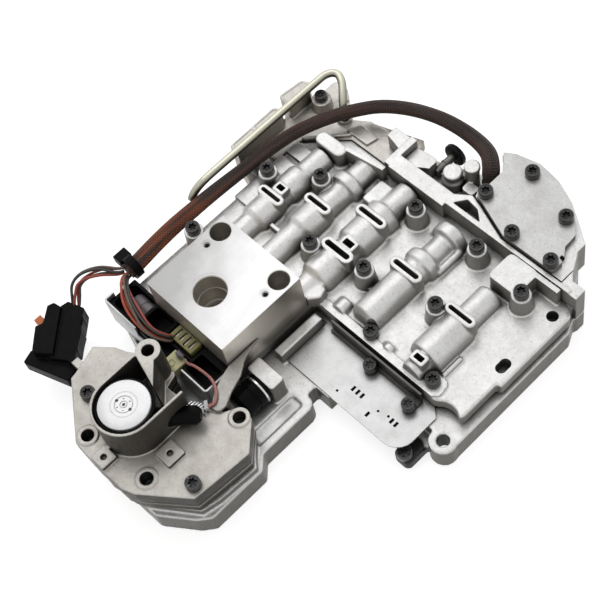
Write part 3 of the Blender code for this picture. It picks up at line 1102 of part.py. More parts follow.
CONNECTOR_WIRES = [
    (-0.0993, -0.0669, 0.0400), (-0.1001, -0.0722, 0.0402), (-0.1055, -0.0785, 0.0410),
    (-0.1120, -0.0865, 0.0420), (-0.1168, -0.0960, 0.0410), (-0.1169, -0.1023, 0.0380),
    (-0.1154, -0.1055, 0.0345), (-0.1138, -0.1076, 0.0312)]
HOUSING_WIRES = [
    (-0.0937, -0.0670, 0.0400), (-0.0936, -0.0705, 0.0405), (-0.0905, -0.0760, 0.0450),
    (-0.0845, -0.0800, 0.0470), (-0.0760, -0.0840, 0.0470), (-0.0620, -0.0872, 0.0470),
    (-0.0490, -0.0875, 0.0466), (-0.0400, -0.0855, 0.0440), (-0.0365, -0.0842, 0.0428)]
PINK_ROUTE = [
    (-0.0139, -0.0856, 0.0413), (-0.0090, -0.0850, 0.0430), (0.0010, -0.0825, 0.0455),
    (0.0090, -0.0810, 0.0462), (0.0155, -0.0835, 0.0465), (0.0205, -0.0900, 0.0475),
    (0.0225, -0.0955, 0.0475), (0.0215, -0.0990, 0.0473)]
TIE_FRONT = -0.0640
TIE_BACK = -0.0580
TIE_WALL = 0.0014
TIE_CLEARANCE = 0.0010
TERMINAL = (0.0120, 0.0235, -0.1030, -0.0993)
TERMINAL_HEIGHT = 0.0038


def harness_tie():
    """Tie round the sleeve's end, with its head on the left."""
    x, _, z = SLEEVE_ROUTE[0]
    inside = SLEEVE_RADIUS + TIE_CLEARANCE
    body = turned([(TIE_FRONT, inside + TIE_WALL), (TIE_BACK, inside + TIE_WALL)], 16, (x, 0, z), "Y")
    head = box(x - inside - 0.0075, x - inside + BITE / 2, TIE_FRONT - 0.0020, TIE_BACK + 0.0020,
               z - 0.0035, z + 0.0035)
    join(body, [head])
    bore = turned([(TIE_FRONT - 0.005, inside), (TIE_BACK + 0.005, inside)], 16, (x, 0, z), "Y")
    return named(cut(body, [bore]), "harness_tie", BLACK)


def wire_terminal():
    left, right, front, back = TERMINAL
    foot = COVER_TOP + GAP
    return named(box(left, right, front, back, foot, foot + TERMINAL_HEIGHT), "wire_terminal", BLACK)


def build():
    lower_housing()
    separator_plate()
    ledge_strip()
    upper_housing()
    for letter, column in COLUMNS.items():
        valve_train(letter, column)
    suction_block()
    accumulator_body()
    accumulator_cover()
    solenoid_can()
    solenoid_cap()
    rear_housing()
    rear_cover()
    transfer_pipe()
    bridge_casting()
    side_casting()
    steel_tray()
    switch_housing()
    cream_connector()
    lockup_solenoid()
    harness_connector()
    connector_lock()
    harness_tie()
    wire_terminal()
    for name, (x, y) in DECK_SCREWS.items():
        screw(name, x, y, BOSS_TOP, length=DECK_SCREW_LENGTH)
    for name, (x, y) in FLANGE_SCREWS.items():
        screw(name, x, y, FLANGE_TOP)
    for name, (x, y) in REAR_SCREWS.items():
        screw(name, x, y, REAR_COVER_TOP)
    for index, (x, y) in enumerate(ACCUMULATOR_SCREWS):
        screw(f"accumulator_screw_{index + 1}", x, y, COVER_TOP, length=ACCUMULATOR_SCREW_LENGTH)
    cord("harness_sleeve", SLEEVE_ROUTE, SLEEVE_RADIUS, 0.009, BRAID)
    cord("steel_tube", TUBE_ROUTE, TUBE_RADIUS, 0.007, SHEET)
    cord("connector_wires", CONNECTOR_WIRES, WIRE_BUNCH_RADIUS, 0.005, WIRE)
    cord("housing_wires", HOUSING_WIRES, WIRE_BUNCH_RADIUS, 0.005, WIRE)
    cord("pink_wire", PINK_ROUTE, PINK_WIRE_RADIUS, 0.0035, PINK)


build()
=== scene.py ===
"""The looks of a transmission valve body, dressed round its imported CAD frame.

Metres, +Z up, in the frame of the CAD: the valves lie along Y and the separator plate is level.
"""
import json
import math

import bmesh
import bpy
import numpy as np
from mathutils import Matrix, Vector

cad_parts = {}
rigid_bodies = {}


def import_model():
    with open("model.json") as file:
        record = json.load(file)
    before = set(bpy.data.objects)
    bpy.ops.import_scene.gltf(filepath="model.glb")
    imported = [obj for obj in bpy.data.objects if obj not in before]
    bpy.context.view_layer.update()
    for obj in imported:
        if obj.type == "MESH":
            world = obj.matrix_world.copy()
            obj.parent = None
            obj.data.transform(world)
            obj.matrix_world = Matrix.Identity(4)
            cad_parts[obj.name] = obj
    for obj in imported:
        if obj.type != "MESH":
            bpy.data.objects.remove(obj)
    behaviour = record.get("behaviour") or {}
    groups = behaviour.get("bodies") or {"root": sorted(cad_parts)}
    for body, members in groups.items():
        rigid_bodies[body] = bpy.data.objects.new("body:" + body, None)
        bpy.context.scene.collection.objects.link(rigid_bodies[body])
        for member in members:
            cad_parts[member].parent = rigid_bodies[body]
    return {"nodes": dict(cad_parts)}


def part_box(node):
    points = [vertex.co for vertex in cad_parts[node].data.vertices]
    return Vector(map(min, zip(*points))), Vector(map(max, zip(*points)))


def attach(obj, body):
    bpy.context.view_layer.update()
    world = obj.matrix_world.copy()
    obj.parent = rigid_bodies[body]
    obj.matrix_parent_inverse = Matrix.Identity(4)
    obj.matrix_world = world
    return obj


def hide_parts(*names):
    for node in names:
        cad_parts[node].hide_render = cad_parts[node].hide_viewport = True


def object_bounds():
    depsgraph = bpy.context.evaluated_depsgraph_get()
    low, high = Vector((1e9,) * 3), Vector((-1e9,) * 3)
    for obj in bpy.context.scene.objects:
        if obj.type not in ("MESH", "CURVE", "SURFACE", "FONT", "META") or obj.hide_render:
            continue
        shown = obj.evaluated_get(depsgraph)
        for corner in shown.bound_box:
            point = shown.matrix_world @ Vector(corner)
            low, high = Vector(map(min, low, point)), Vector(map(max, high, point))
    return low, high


for old in list(bpy.data.objects):
    bpy.data.objects.remove(old)
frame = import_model()
CAD_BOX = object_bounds()
NODES = frame["nodes"]

MM = 0.001

# Camera, from the photograph's viewing angle
CAMERA_PLACE = Vector((0.413954, -0.233960, 0.817263))
CAMERA_RIGHT = Vector((0.6875, 0.7107, -0.1494))
CAMERA_UP = Vector((-0.5715, 0.6564, 0.4925))
CAMERA_LENS = 84
CAMERA_SENSOR = 36

# Studio
FLOOR_HALF = 3.0
BACKGROUND = (1.0, 1.0, 1.0, 1.0)
AMBIENT = 0.34
FLOOR_GLOW = 0.75

# Heights of the castings, as in the CAD
DECK_FOOT = 0.0200
DECK_TOP = 0.0300
FLANGE_TOP = 0.0315
BOSS_TOP = 0.0450
BORE_HEIGHT = 0.0330
COVER_TOP = 0.0450

# Lug of the leg's bolt, darkened to near black: its middle and its radius
LEG_BLACK_SPOT = ((0.1210, -0.0265, 0.0060), 0.0135)


def link(made):
    """Adds an object to the scene."""
    bpy.context.scene.collection.objects.link(made)
    return made


def set_camera():
    """Looks down on the valves from the front right, as the photograph does."""
    data = bpy.data.cameras.new("camera")
    data.lens = CAMERA_LENS
    data.sensor_width = CAMERA_SENSOR
    data.sensor_fit = "HORIZONTAL"
    data.clip_start, data.clip_end = 0.01, 20
    camera = link(bpy.data.objects.new("camera", data))
    right, up = CAMERA_RIGHT.normalized(), CAMERA_UP.normalized()
    turn = Matrix((right, up, right.cross(up))).transposed()
    camera.matrix_world = Matrix.Translation(CAMERA_PLACE) @ turn.to_4x4()
    bpy.context.scene.camera = camera


def lamp(name, place, aim, size, power, colour=(1, 1, 1)):
    """A soft area lamp at a place, turned to a point."""
    data = bpy.data.lights.new(name, "AREA")
    data.shape = "RECTANGLE"
    data.size, data.size_y = size
    data.energy = power
    data.color = colour
    made = link(bpy.data.objects.new(name, data))
    made.location = place
    made.rotation_euler = (Vector(aim) - Vector(place)).to_track_quat("-Z", "Y").to_euler()
    return made


def seen_ray(tree):
    """1 for the rays that see the background directly, in metal or through glass."""
    path = tree.nodes.new("ShaderNodeLightPath")
    seen = path.outputs["Is Camera Ray"]
    for ray in ("Is Glossy Ray", "Is Transmission Ray"):
        joined = tree.nodes.new("ShaderNodeMath")
        joined.operation = "MAXIMUM"
        tree.links.new(seen, joined.inputs[0])
        tree.links.new(path.outputs[ray], joined.inputs[1])
        seen = joined.outputs[0]
    return seen


def set_world():
    """White where it is seen, and dimmer as a light."""
    world = bpy.data.worlds.new("studio")
    bpy.context.scene.world = world
    world.use_nodes = True
    tree = world.node_tree
    back = tree.nodes["Background"]
    back.inputs["Color"].default_value = BACKGROUND
    level = tree.nodes.new("ShaderNodeMapRange")
    level.inputs["To Min"].default_value = AMBIENT
    level.inputs["To Max"].default_value = 1.0
    tree.links.new(seen_ray(tree), level.inputs["Value"])
    tree.links.new(level.outputs["Result"], back.inputs["Strength"])


def set_floor():
    """White paper under the part, which keeps its shadow."""
    low = CAD_BOX[0].z
    mesh = bpy.data.meshes.new("floor")
    corners = [(x * FLOOR_HALF, y * FLOOR_HALF, low) for x, y in ((-1, -1), (1, -1), (1, 1), (-1, 1))]
    mesh.from_pydata(corners, [], [(0, 1, 2, 3)])
    floor = link(bpy.data.objects.new("floor", mesh))
    material = bpy.data.materials.new("floor_paper")
    material.use_nodes = True
    tree = material.node_tree
    tree.nodes.remove(tree.nodes["Principled BSDF"])
    paper = tree.nodes.new("ShaderNodeBsdfDiffuse")
    paper.inputs["Color"].default_value = (0.86, 0.86, 0.86, 1)
    glow = tree.nodes.new("ShaderNodeEmission")
    scaled = tree.nodes.new("ShaderNodeMath")
    scaled.operation = "MULTIPLY"
    scaled.inputs[1].default_value = FLOOR_GLOW
    tree.links.new(seen_ray(tree), scaled.inputs[0])
    tree.links.new(scaled.outputs[0], glow.inputs["Strength"])
    both = tree.nodes.new("ShaderNodeAddShader")
    tree.links.new(paper.outputs[0], both.inputs[0])
    tree.links.new(glow.outputs[0], both.inputs[1])
    tree.links.new(both.outputs[0], tree.nodes["Material Output"].inputs["Surface"])
    mesh.materials.append(material)


def set_studio():
    """A white sweep, with soft lamps above and behind."""
    bpy.context.scene.view_settings.view_transform = "Standard"
    set_world()
    set_floor()
    centre = (0, -0.02, 0.03)
    lamp("lamp_top", (-0.62, 0.25, 1.1), centre, (1.1, 1.1), 4)
    lamp("lamp_back", (-0.2, 1.2, 0.5), centre, (1.0, 0.3), 1)


class Shader:
    """A procedural material, put together from nodes by short calls."""

    def __init__(self, name, **sockets):
        self.material = bpy.data.materials.new(name)
        self.material.use_nodes = True
        self.tree = self.material.node_tree
        self.surface = self.tree.nodes["Principled BSDF"]
        self.place = self.node("ShaderNodeTexCoord").outputs["Object"]
        for socket, value in sockets.items():
            self.surface.inputs[socket].default_value = value

    def node(self, kind, inputs=(), **settings):
        """A node with its settings and its inputs, each a value or another node's socket."""
        made = self.tree.nodes.new(kind)
        for name, value in settings.items():
            setattr(made, name, value)
        for key, value in dict(inputs).items():
            if isinstance(value, bpy.types.NodeSocket):
                self.tree.links.new(value, made.inputs[key])
            else:
                made.inputs[key].default_value = value
        return made

    def along(self):
        """(metres along a cord, turns round it) of the swept pieces, as a vector."""
        return self.node("ShaderNodeUVMap", uv_map="sweep").outputs["UV"]

    def split(self, vector):
        """The three numbers of a vector."""
        return self.node("ShaderNodeSeparateXYZ", {0: vector}).outputs

    def stretched(self, scale, at=None):
        """A place with each axis scaled by its own share."""
        return self.node("ShaderNodeMapping", {"Vector": at or self.place, "Scale": scale}).outputs[0]

    def noise(self, size, detail=3, roughness=0.55, at=None):
        """Cloudy noise, whose spots are about size metres across."""
        inputs = {"Vector": at or self.place, "Scale": 1 / size, "Detail": detail, "Roughness": roughness}
        return self.node("ShaderNodeTexNoise", inputs).outputs["Fac"]

    def level(self, value, low, high, to_low=0.0, to_high=1.0):
        """A value taken from one range to another, held at its ends."""
        inputs = {0: value, 1: low, 2: high, 3: to_low, 4: to_high}
        return self.node("ShaderNodeMapRange", inputs).outputs["Result"]

    def maths(self, operation, first, second=0.0):
        """One sum of two values."""
        return self.node("ShaderNodeMath", {0: first, 1: second}, operation=operation).outputs[0]

    def mix(self, share, first, second, blend="MIX"):
        """Two colours mixed."""
        made = self.node("ShaderNodeMix", data_type="RGBA", blend_type=blend)
        for key, value in ((0, share), (6, first), (7, second)):
            if isinstance(value, bpy.types.NodeSocket):
                self.tree.links.new(value, made.inputs[key])
            else:
                made.inputs[key].default_value = value
        return made.outputs[2]

    def hollows(self, reach, low=0.35, high=0.95):
        """0 in corners and hollows that are narrower than reach, and 1 in the open; the finishes paint shade
        by it.
        """
        made = self.node("ShaderNodeAmbientOcclusion", {"Distance": reach}, samples=8)
        return self.level(made.outputs["AO"], low, high)

    def facing_up(self, low=0.2, high=0.9):
        """1 on level faces, 0 on upright ones."""
        normal = self.node("ShaderNodeNewGeometry").outputs["Normal"]
        return self.level(self.split(normal)[2], low, high)

    def edges(self, low=0.505, high=0.56):
        """1 on worn outer edges of a dense mesh."""
        return self.level(self.node("ShaderNodeNewGeometry").outputs["Pointiness"], low, high)

    def bump(self, height, depth, after=None):
        """Small relief, depth metres high."""
        inputs = {"Height": height, "Distance": depth, "Strength": 1.0}
        if after is not None:
            inputs["Normal"] = after
        return self.node("ShaderNodeBump", inputs).outputs[0]

    def finish(self, colour=None, roughness=None, normal=None, metal=None, gloss=None):
        """Joins the maps to the surface."""
        maps = {"Base Color": colour, "Roughness": roughness, "Normal": normal, "Metallic": metal,
                "Specular IOR Level": gloss}
        for key, value in maps.items():
            if value is not None:
                self.tree.links.new(value, self.surface.inputs[key])
        return self.material


def grey(value, warm=0.0):
    """A grey, warmed a little towards yellow."""
    return (value * (1 + warm), value, value * (1 - 1.6 * warm), 1)


def cast_metal(name, tone, warm, side, stain=0.25, metallic=0.35, shine=0.2, black_spot=None):
    """Die cast aluminium: a fine skin, cloudy stains, painted shade on its upright faces, and painted
    shade in its corners and hollows.

    side is the share of the colour that upright faces keep, as painted shade. shine is the share of
    the metallic look that upright faces keep. The last argument is the middle of a spot darkened to
    near black, and its radius.
    """
    s = Shader(name)
    clouds = s.noise(0.018, 4)
    fine = s.noise(0.0022, 3, 0.7)
    clean = s.mix(s.level(fine, 0.35, 0.7), grey(tone * 0.93, warm), grey(tone * 1.05, warm))
    stained = s.mix(s.level(clouds, 0.45, 0.75, 0, stain), clean, grey(tone * 0.55, warm + 0.04))
    specks = s.level(s.noise(0.0016, 2, 0.7), 0.56, 0.72, 0, 0.5)
    stained = s.mix(specks, stained, grey(tone * 0.5, warm + 0.02))
    # Painted shade: upright faces keep only the side share of the colour.
    up = s.facing_up(0.0, 0.7)
    shaded = s.mix(1.0, stained, s.mix(up, grey(side, 0.05), grey(1.0)), "MULTIPLY")
    # Painted shade: corners and hollows darkened towards near black.
    dirt_and_shade = grey(tone * 0.07, warm + 0.04)
    colour = s.mix(s.hollows(0.010, 0.25, 0.68), dirt_and_shade, shaded)
    # A spot darkened to near black within its radius of the given middle.
    if black_spot:
        middle, radius = black_spot
        away = s.node("ShaderNodeVectorMath", {0: s.place, 1: middle}, operation="DISTANCE")
        away = s.level(away.outputs["Value"], radius * 0.85, radius)
        colour = s.mix(away, grey(0.012), colour)
    rough = s.level(s.noise(0.006, 3), 0.3, 0.7, 0.3, 0.45)
    skin = s.bump(s.noise(0.0009, 2), 0.05 * MM)
    waves = s.bump(s.noise(0.007, 2), 0.2 * MM, skin)
    metal = s.level(up, 0, 1, metallic * shine, metallic)
    return s.finish(colour, rough, waves, metal, s.level(up, 0, 1, 0.12, 0.5))


def milled_metal(name, tone):
    """Milled aluminium: near white on its top face with painted shade over one corner, brownish on its
    sides with painted light and shade along them, and painted shade in its hollows.
    """
    s = Shader(name)
    marks = s.noise(0.0012, 3, 0.6, s.stretched((1.0, 0.04, 0.15)))
    x, y, z = s.split(s.place)
    top = s.mix(s.level(marks, 0.35, 0.65), grey(tone * 0.96), grey(tone * 1.02))
    # Painted shade: the top darkens towards its corner at -X, -Y, away from the lamp's glare, with a cloudy
    # edge.
    near = s.maths("SUBTRACT", s.maths("MULTIPLY", y, -0.55), x)
    shade_ramp = s.maths("ADD", near, s.maths("MULTIPLY", s.noise(0.012, 4), 0.03))
    corner_shade = s.level(shade_ramp, 0.045, 0.095, 0, 0.6)
    top = s.mix(corner_shade, top, grey(tone * 0.2, 0.03))
    # Painted light and shade along the sides: light at the front end, dark in the middle, light again at the
    # back end, and darker towards the foot.
    sides = s.mix(s.level(y, -0.050, -0.020), grey(tone * 1.12, 0.07), grey(tone * 0.45, 0.09))
    sides = s.mix(s.level(y, -0.016, -0.004), sides, grey(tone * 1.05, 0.08))
    sides = s.mix(s.level(z, 0.045, 0.035, 0.0, 0.3), sides, grey(tone * 0.4, 0.09))
    streaks = s.level(marks, 0.3, 0.7, 0.0, 0.25)
    sides = s.mix(streaks, sides, grey(tone * 0.5, 0.08))
    colour = s.mix(s.facing_up(0.5, 0.9), sides, top)
    # Painted shade in corners and hollows.
    colour = s.mix(s.hollows(0.008), grey(tone * 0.4, 0.02), colour)
    rough = s.level(marks, 0.3, 0.7, 0.3, 0.4)
    up = s.facing_up(0.5, 0.9)
    return s.finish(colour, rough, s.bump(marks, 0.015 * MM), s.level(up, 0, 1, 0.7, 0.75))


def steel(name, tone, roughness, metallic=0.85, warm=0.0, mottle=0.2):
    """Drawn or rolled steel, lightly mottled, with painted shade in its hollows."""
    s = Shader(name, Metallic=metallic)
    clouds = s.noise(0.008, 4)
    colour = s.mix(s.level(clouds, 0.4, 0.7, 0, mottle), grey(tone, warm), grey(tone * 0.5, warm + 0.02))
    # Painted shade in corners and hollows.
    colour = s.mix(s.hollows(0.006), grey(tone * 0.2, warm), colour)
    fine = s.noise(0.0008, 2)
    rough = s.level(fine, 0.3, 0.7, roughness * 0.85, roughness * 1.2)
    return s.finish(colour, rough, s.bump(fine, 0.015 * MM))


def tube_steel():
    """Satin steel with a yellowish painted highlight along its top and painted shade on its flanks."""
    s = Shader("tube_satin", Metallic=0.7, Roughness=0.3)
    # Painted highlight on up-facing parts and painted shade on the flanks.
    top_highlight = s.facing_up(0.35, 0.97)
    colour = s.mix(top_highlight, (0.09, 0.085, 0.06, 1), (0.68, 0.67, 0.55, 1))
    fine = s.noise(0.0012, 2)
    colour = s.mix(s.level(fine, 0.5, 0.75, 0, 0.25), colour, (0.3, 0.28, 0.2, 1))
    return s.finish(colour, None, s.bump(fine, 0.01 * MM))


def screw_steel():
    """Oiled dark steel, grey on its worn edges, with painted shade in its recess."""
    s = Shader("screw_steel_oiled", Metallic=0.5)
    clouds = s.noise(0.003, 3)
    colour = s.mix(s.level(clouds, 0.35, 0.7), grey(0.010), grey(0.045, 0.02))
    colour = s.mix(s.edges(0.52, 0.62), colour, grey(0.16, 0.01))
    # Painted shade in the recess and other hollows.
    colour = s.mix(s.hollows(0.004, 0.3, 0.9), grey(0.008), colour)
    return s.finish(colour, s.level(clouds, 0.3, 0.7, 0.25, 0.42))


def plastic(name, colour, roughness=0.4, mottle=0.1, grain=0.03 * MM, gloss=0.5, pearl=0.0):
    """Moulded plastic with a light grain and painted shade in its hollows. pearl adds a metallic sheen."""
    s = Shader(name, Metallic=pearl, **{"Specular IOR Level": gloss})
    clouds = s.noise(0.006, 3)
    darker = tuple(c * 0.55 for c in colour[:3]) + (1,)
    mixed = s.mix(s.level(clouds, 0.4, 0.75, 0, mottle * 2), colour, darker)
    # Painted shade in corners and hollows.
    mixed = s.mix(s.hollows(0.004), darker, mixed)
    fine = s.noise(0.0006, 2)
    rough = s.level(clouds, 0.3, 0.7, roughness * 0.85, roughness * 1.15)
    return s.finish(mixed, rough, s.bump(fine, grain))


def braid():
    """Woven sleeve: dark strands, with red brown wires that show through in long streaks, gaps between
    the strands darkened partly as painted shade, and painted highlights where the strands cross.
    """
    s = Shader("braided_sleeve", Roughness=0.6, **{"Specular IOR Level": 0.2})
    along, around, _ = s.split(s.along())
    streak_at = s.stretched((9.0, 5.0, 0.0), s.along())
    streaks = s.noise(1.0, 3, 0.6, streak_at)
    worn = s.maths("MULTIPLY", s.level(along, 0.005, 0.035), s.level(along, 0.065, 0.095, 0.12, 0.0))
    wires = s.level(s.maths("ADD", streaks, worn), 0.50, 0.64)
    bundles = s.noise(1.0, 2, 0.5, s.stretched((30.0, 9.0, 0.0), s.along()))
    base = s.mix(s.level(bundles, 0.3, 0.7), (0.014, 0.010, 0.009, 1), (0.085, 0.062, 0.054, 1))
    seen = s.mix(s.level(along, 0.05, 0.12), (0.42, 0.11, 0.04, 1), (0.13, 0.052, 0.035, 1))
    colour = s.mix(wires, base, seen)
    forward = s.maths("MULTIPLY", along, 2700.0)
    across = s.maths("MULTIPLY", around, 2 * math.pi * 13)
    one = s.maths("SINE", s.maths("ADD", forward, across))
    two = s.maths("SINE", s.maths("SUBTRACT", forward, across))
    weave = s.maths("MAXIMUM", one, two)
    # The gaps between the strands darkened: partly a real gap, partly painted shade.
    colour = s.mix(s.level(weave, -0.2, 0.8, 0.8, 0.0), colour, (0.008, 0.007, 0.007, 1))
    # Painted highlights where the strands cross.
    lit_crossings = s.maths("MULTIPLY", one, two)
    colour = s.mix(s.level(lit_crossings, 0.2, 0.9, 0.0, 0.7), colour, (0.22, 0.175, 0.155, 1))
    return s.finish(colour, None, s.bump(weave, 0.16 * MM))


def wire_skin(name, colours):
    """Thin wires, each in one of the colours by its number in the bunch."""
    s = Shader(name, Roughness=0.35)
    turns = s.split(s.along())[1]
    number = s.maths("DIVIDE", s.maths("FLOOR", turns), len(colours))
    number = s.maths("FRACT", s.maths("ADD", number, 0.5 / len(colours)))
    ramp = s.node("ShaderNodeValToRGB", {0: number})
    ramp.color_ramp.interpolation = "CONSTANT"
    stops = ramp.color_ramp.elements
    for index, colour in enumerate(colours):
        stop = stops[index] if index < 2 else stops.new(index / len(colours))
        stop.position = index / len(colours)
        stop.color = colour
    dirt_and_shade = s.level(s.noise(0.004, 3), 0.45, 0.75, 0, 0.5)
    colour = s.mix(dirt_and_shade, ramp.outputs[0], (0.03, 0.02, 0.015, 1))
    return s.finish(colour)


def make_finishes():
    """A finish for each material slot of the record."""
    return {
        "cast_aluminium": cast_metal("cast_aluminium_skin", 0.82, 0.006, 0.36, metallic=0.5),
        "lower_casting": cast_metal("lower_casting_skin", 0.80, 0.006, 0.3, metallic=0.5, black_spot=LEG_BLACK_SPOT),
        "side_casting": cast_metal("side_casting_skin", 0.62, 0.045, 0.75, 0.5, 0.5, 0.8),
        "rear_cover": cast_metal("rear_cover_skin", 0.62, 0.006, 0.4, 0.45, 0.5),
        "cast_aluminium_warm": cast_metal("cast_aluminium_warm_skin", 0.62, 0.045, 0.12, 0.65),
        "machined_aluminium": milled_metal("milled_aluminium", 0.66),
        "steel_sheet": steel("steel_sheet_rolled", 0.66, 0.3, 0.5, mottle=0.3),
        "dark_screw_steel": screw_steel(),
        "bright_steel": steel("bright_steel_ground", 0.7, 0.2),
        "black_plastic": plastic("black_nylon", (0.004, 0.004, 0.004, 1), 0.4, gloss=0.06),
        "black_rubber": plastic("black_rubber_skin", (0.008, 0.008, 0.008, 1), 0.5, gloss=0.15),
        "white_plastic": plastic("white_plastic_skin", (0.93, 0.93, 0.94, 1), 0.3, 0.03, pearl=0.3),
        "cream_plastic": plastic("cream_plastic_skin", (0.80, 0.76, 0.42, 1), 0.4),
        "orange_plastic": plastic("orange_plastic_skin", (0.8, 0.2, 0.04, 1), 0.4),
        "brown_braid": braid(),
        "wire_insulation": wire_skin("wire_skin", [
            (0.62, 0.1, 0.035, 1), (0.07, 0.055, 0.05, 1), (0.5, 0.09, 0.06, 1), (0.02, 0.02, 0.02, 1),
            (0.2, 0.14, 0.11, 1)]),
        "bracket": cast_metal("bracket_skin", 0.44, 0.04, 1.0, 0.4, 0.4, 1.0),
        # The ledge's dark finish is painted shade: the strip lies in shadow under the deck's edge.
        "ledge": cast_metal("ledge_shade_skin", 0.16, 0.03, 0.3, 0.5, metallic=0.2),
        "olive": plastic("olive_terminal_skin", (0.36, 0.34, 0.13, 1), 0.45, 0.3),
        "coil": plastic("coil_skin", (0.20, 0.18, 0.20, 1), 0.35),
        "clear": plastic("clear_clip_skin", (0.85, 0.86, 0.86, 1), 0.2, 0.03),
        "tube": tube_steel(),
        "pipe": steel("pipe_steel", 0.2, 0.3, 0.6, 0.05),
        "pink_insulation": wire_skin("pink_wire_skin", [(0.72, 0.3, 0.27, 1), (0.72, 0.3, 0.27, 1)]),
    }


def rounded(corners, steps=8):
    """Points of a closed outline. A corner is (x, y) or (x, y, radius of its fillet)."""
    points = []
    count = len(corners)
    for index, corner in enumerate(corners):
        here = Vector(corner[:2])
        radius = corner[2] if len(corner) > 2 else 0.0
        if radius <= 0.0:
            points.append(tuple(here))
            continue
        before = Vector(corners[index - 1][:2]) - here
        after = Vector(corners[(index + 1) % count][:2]) - here
        half = before.angle(after) / 2
        reach = radius / math.tan(half)
        middle = here + (before.normalized() + after.normalized()).normalized() * radius / math.sin(half)
        first = here + before.normalized() * reach - middle
        last = here + after.normalized() * reach - middle
        turn = first.angle_signed(last)
        points += [tuple(middle + Matrix.Rotation(-turn * step / steps, 2) @ first)
                   for step in range(steps + 1)]
    return points


def rectangle(left, right, front, back, radius=0.0):
    """Corners of a rectangle with even fillets."""
    return [(left, front, radius), (right, front, radius), (right, back, radius), (left, back, radius)]


def arc(x, y, radius, start, end, steps):
    """Points along an arc, from its start to its end in degrees."""
    turns = [math.radians(start + (end - start) * step / steps) for step in range(steps + 1)]
    return [(x + radius * math.cos(t), y + radius * math.sin(t)) for t in turns]


def circle(x, y, radius, sides=48):
    """Points of a full circle."""
    return arc(x, y, radius, 0, 360 * (sides - 1) / sides, sides - 1)


def stadium(x, y, length, width, steps=10):
    """Outline of a slot with round ends that lies along X."""
    reach = (length - width) / 2
    return (arc(x - reach, y, width / 2, 90, 270, steps) + arc(x + reach, y, width / 2, -90, 90, steps))


class Shape:
    """Closed bodies gathered in one mesh."""

    def __init__(self):
        self.bm = bmesh.new()

    def loft(self, rings):
        """A closed body through rings that have the same number of points."""
        rows = [[self.bm.verts.new(point) for point in ring] for ring in rings]
        self.bm.faces.new(rows[0])
        self.bm.faces.new(rows[-1])
        for one, two in zip(rows, rows[1:]):
            for index in range(len(one)):
                self.bm.faces.new((one[index - 1], one[index], two[index], two[index - 1]))
        return self

    def slab(self, points, foot, top):
        """A prism over a flat outline."""
        return self.loft([[(*point[:2], height) for point in points] for height in (foot, top)])

    def turned(self, profile, place, axis="Z", sides=64):
        """A body of revolution from (distance along the axis, radius)."""
        rings = []
        for along, radius in profile:
            ring = []
            for across, up in circle(0, 0, radius, sides):
                point = {"Z": (across, up, along), "Y": (across, along, up), "X": (along, across, up)}[axis]
                ring.append(Vector(place) + Vector(point))
            rings.append(ring)
        return self.loft(rings)

    def node(self, name):
        """A CAD node's own mesh."""
        self.bm.from_mesh(NODES[name].data)
        bmesh.ops.remove_doubles(self.bm, verts=self.bm.verts, dist=0.005 * MM)
        return self

    def mesh_object(self, name):
        """The bodies as one object, with faces turned outwards."""
        bmesh.ops.recalc_face_normals(self.bm, faces=self.bm.faces)
        mesh = bpy.data.meshes.new(name)
        self.bm.to_mesh(mesh)
        self.bm.free()
        return link(bpy.data.objects.new(name, mesh))


def worked(piece, *steps):
    """Puts modifiers on a piece and applies them. A step is (kind, its settings)."""
    for kind, settings in steps:
        step = piece.modifiers.new(kind.lower(), kind)
        for name, value in settings.items():
            setattr(step, name, value)
    bpy.context.view_layer.update()
    seen = piece.evaluated_get(bpy.context.evaluated_depsgraph_get())
    result = bpy.data.meshes.new_from_object(seen)
    piece.modifiers.clear()
    piece.data = result
    return piece


def melted(piece, voxel, passes):
    """The bodies of a piece melted into one, with its edges and corners softened."""
    return worked(piece, ("REMESH", {"mode": "VOXEL", "voxel_size": voxel}),
                  ("SMOOTH", {"factor": 0.5, "iterations": passes}))


def thinned(piece, most):
    """At most about that many triangles, and fewer where the piece is flat."""
    triangles = sum(len(face.vertices) - 2 for face in piece.data.polygons)
    if triangles > most:
        worked(piece, ("DECIMATE", {"ratio": most / triangles}))
    return piece


def carved(piece, shape, operation="DIFFERENCE"):
    """Crisp cuts or additions."""
    tool = shape.mesh_object("tool")
    worked(piece, ("BOOLEAN", {"operation": operation, "solver": "MANIFOLD", "object": tool}))
    bpy.data.objects.remove(tool)
    return piece


def placed(piece, finish, slot, *nodes, body="housing", angle=35.0):
    """Finishes a piece and lets it stand for its CAD nodes."""
    piece.data.materials.clear()
    piece.data.materials.append(finish)
    piece.data.shade_smooth()
    piece.data.set_sharp_from_angle(angle=math.radians(angle))
    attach(piece, body)
    if nodes:
        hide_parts(*nodes)
    return piece


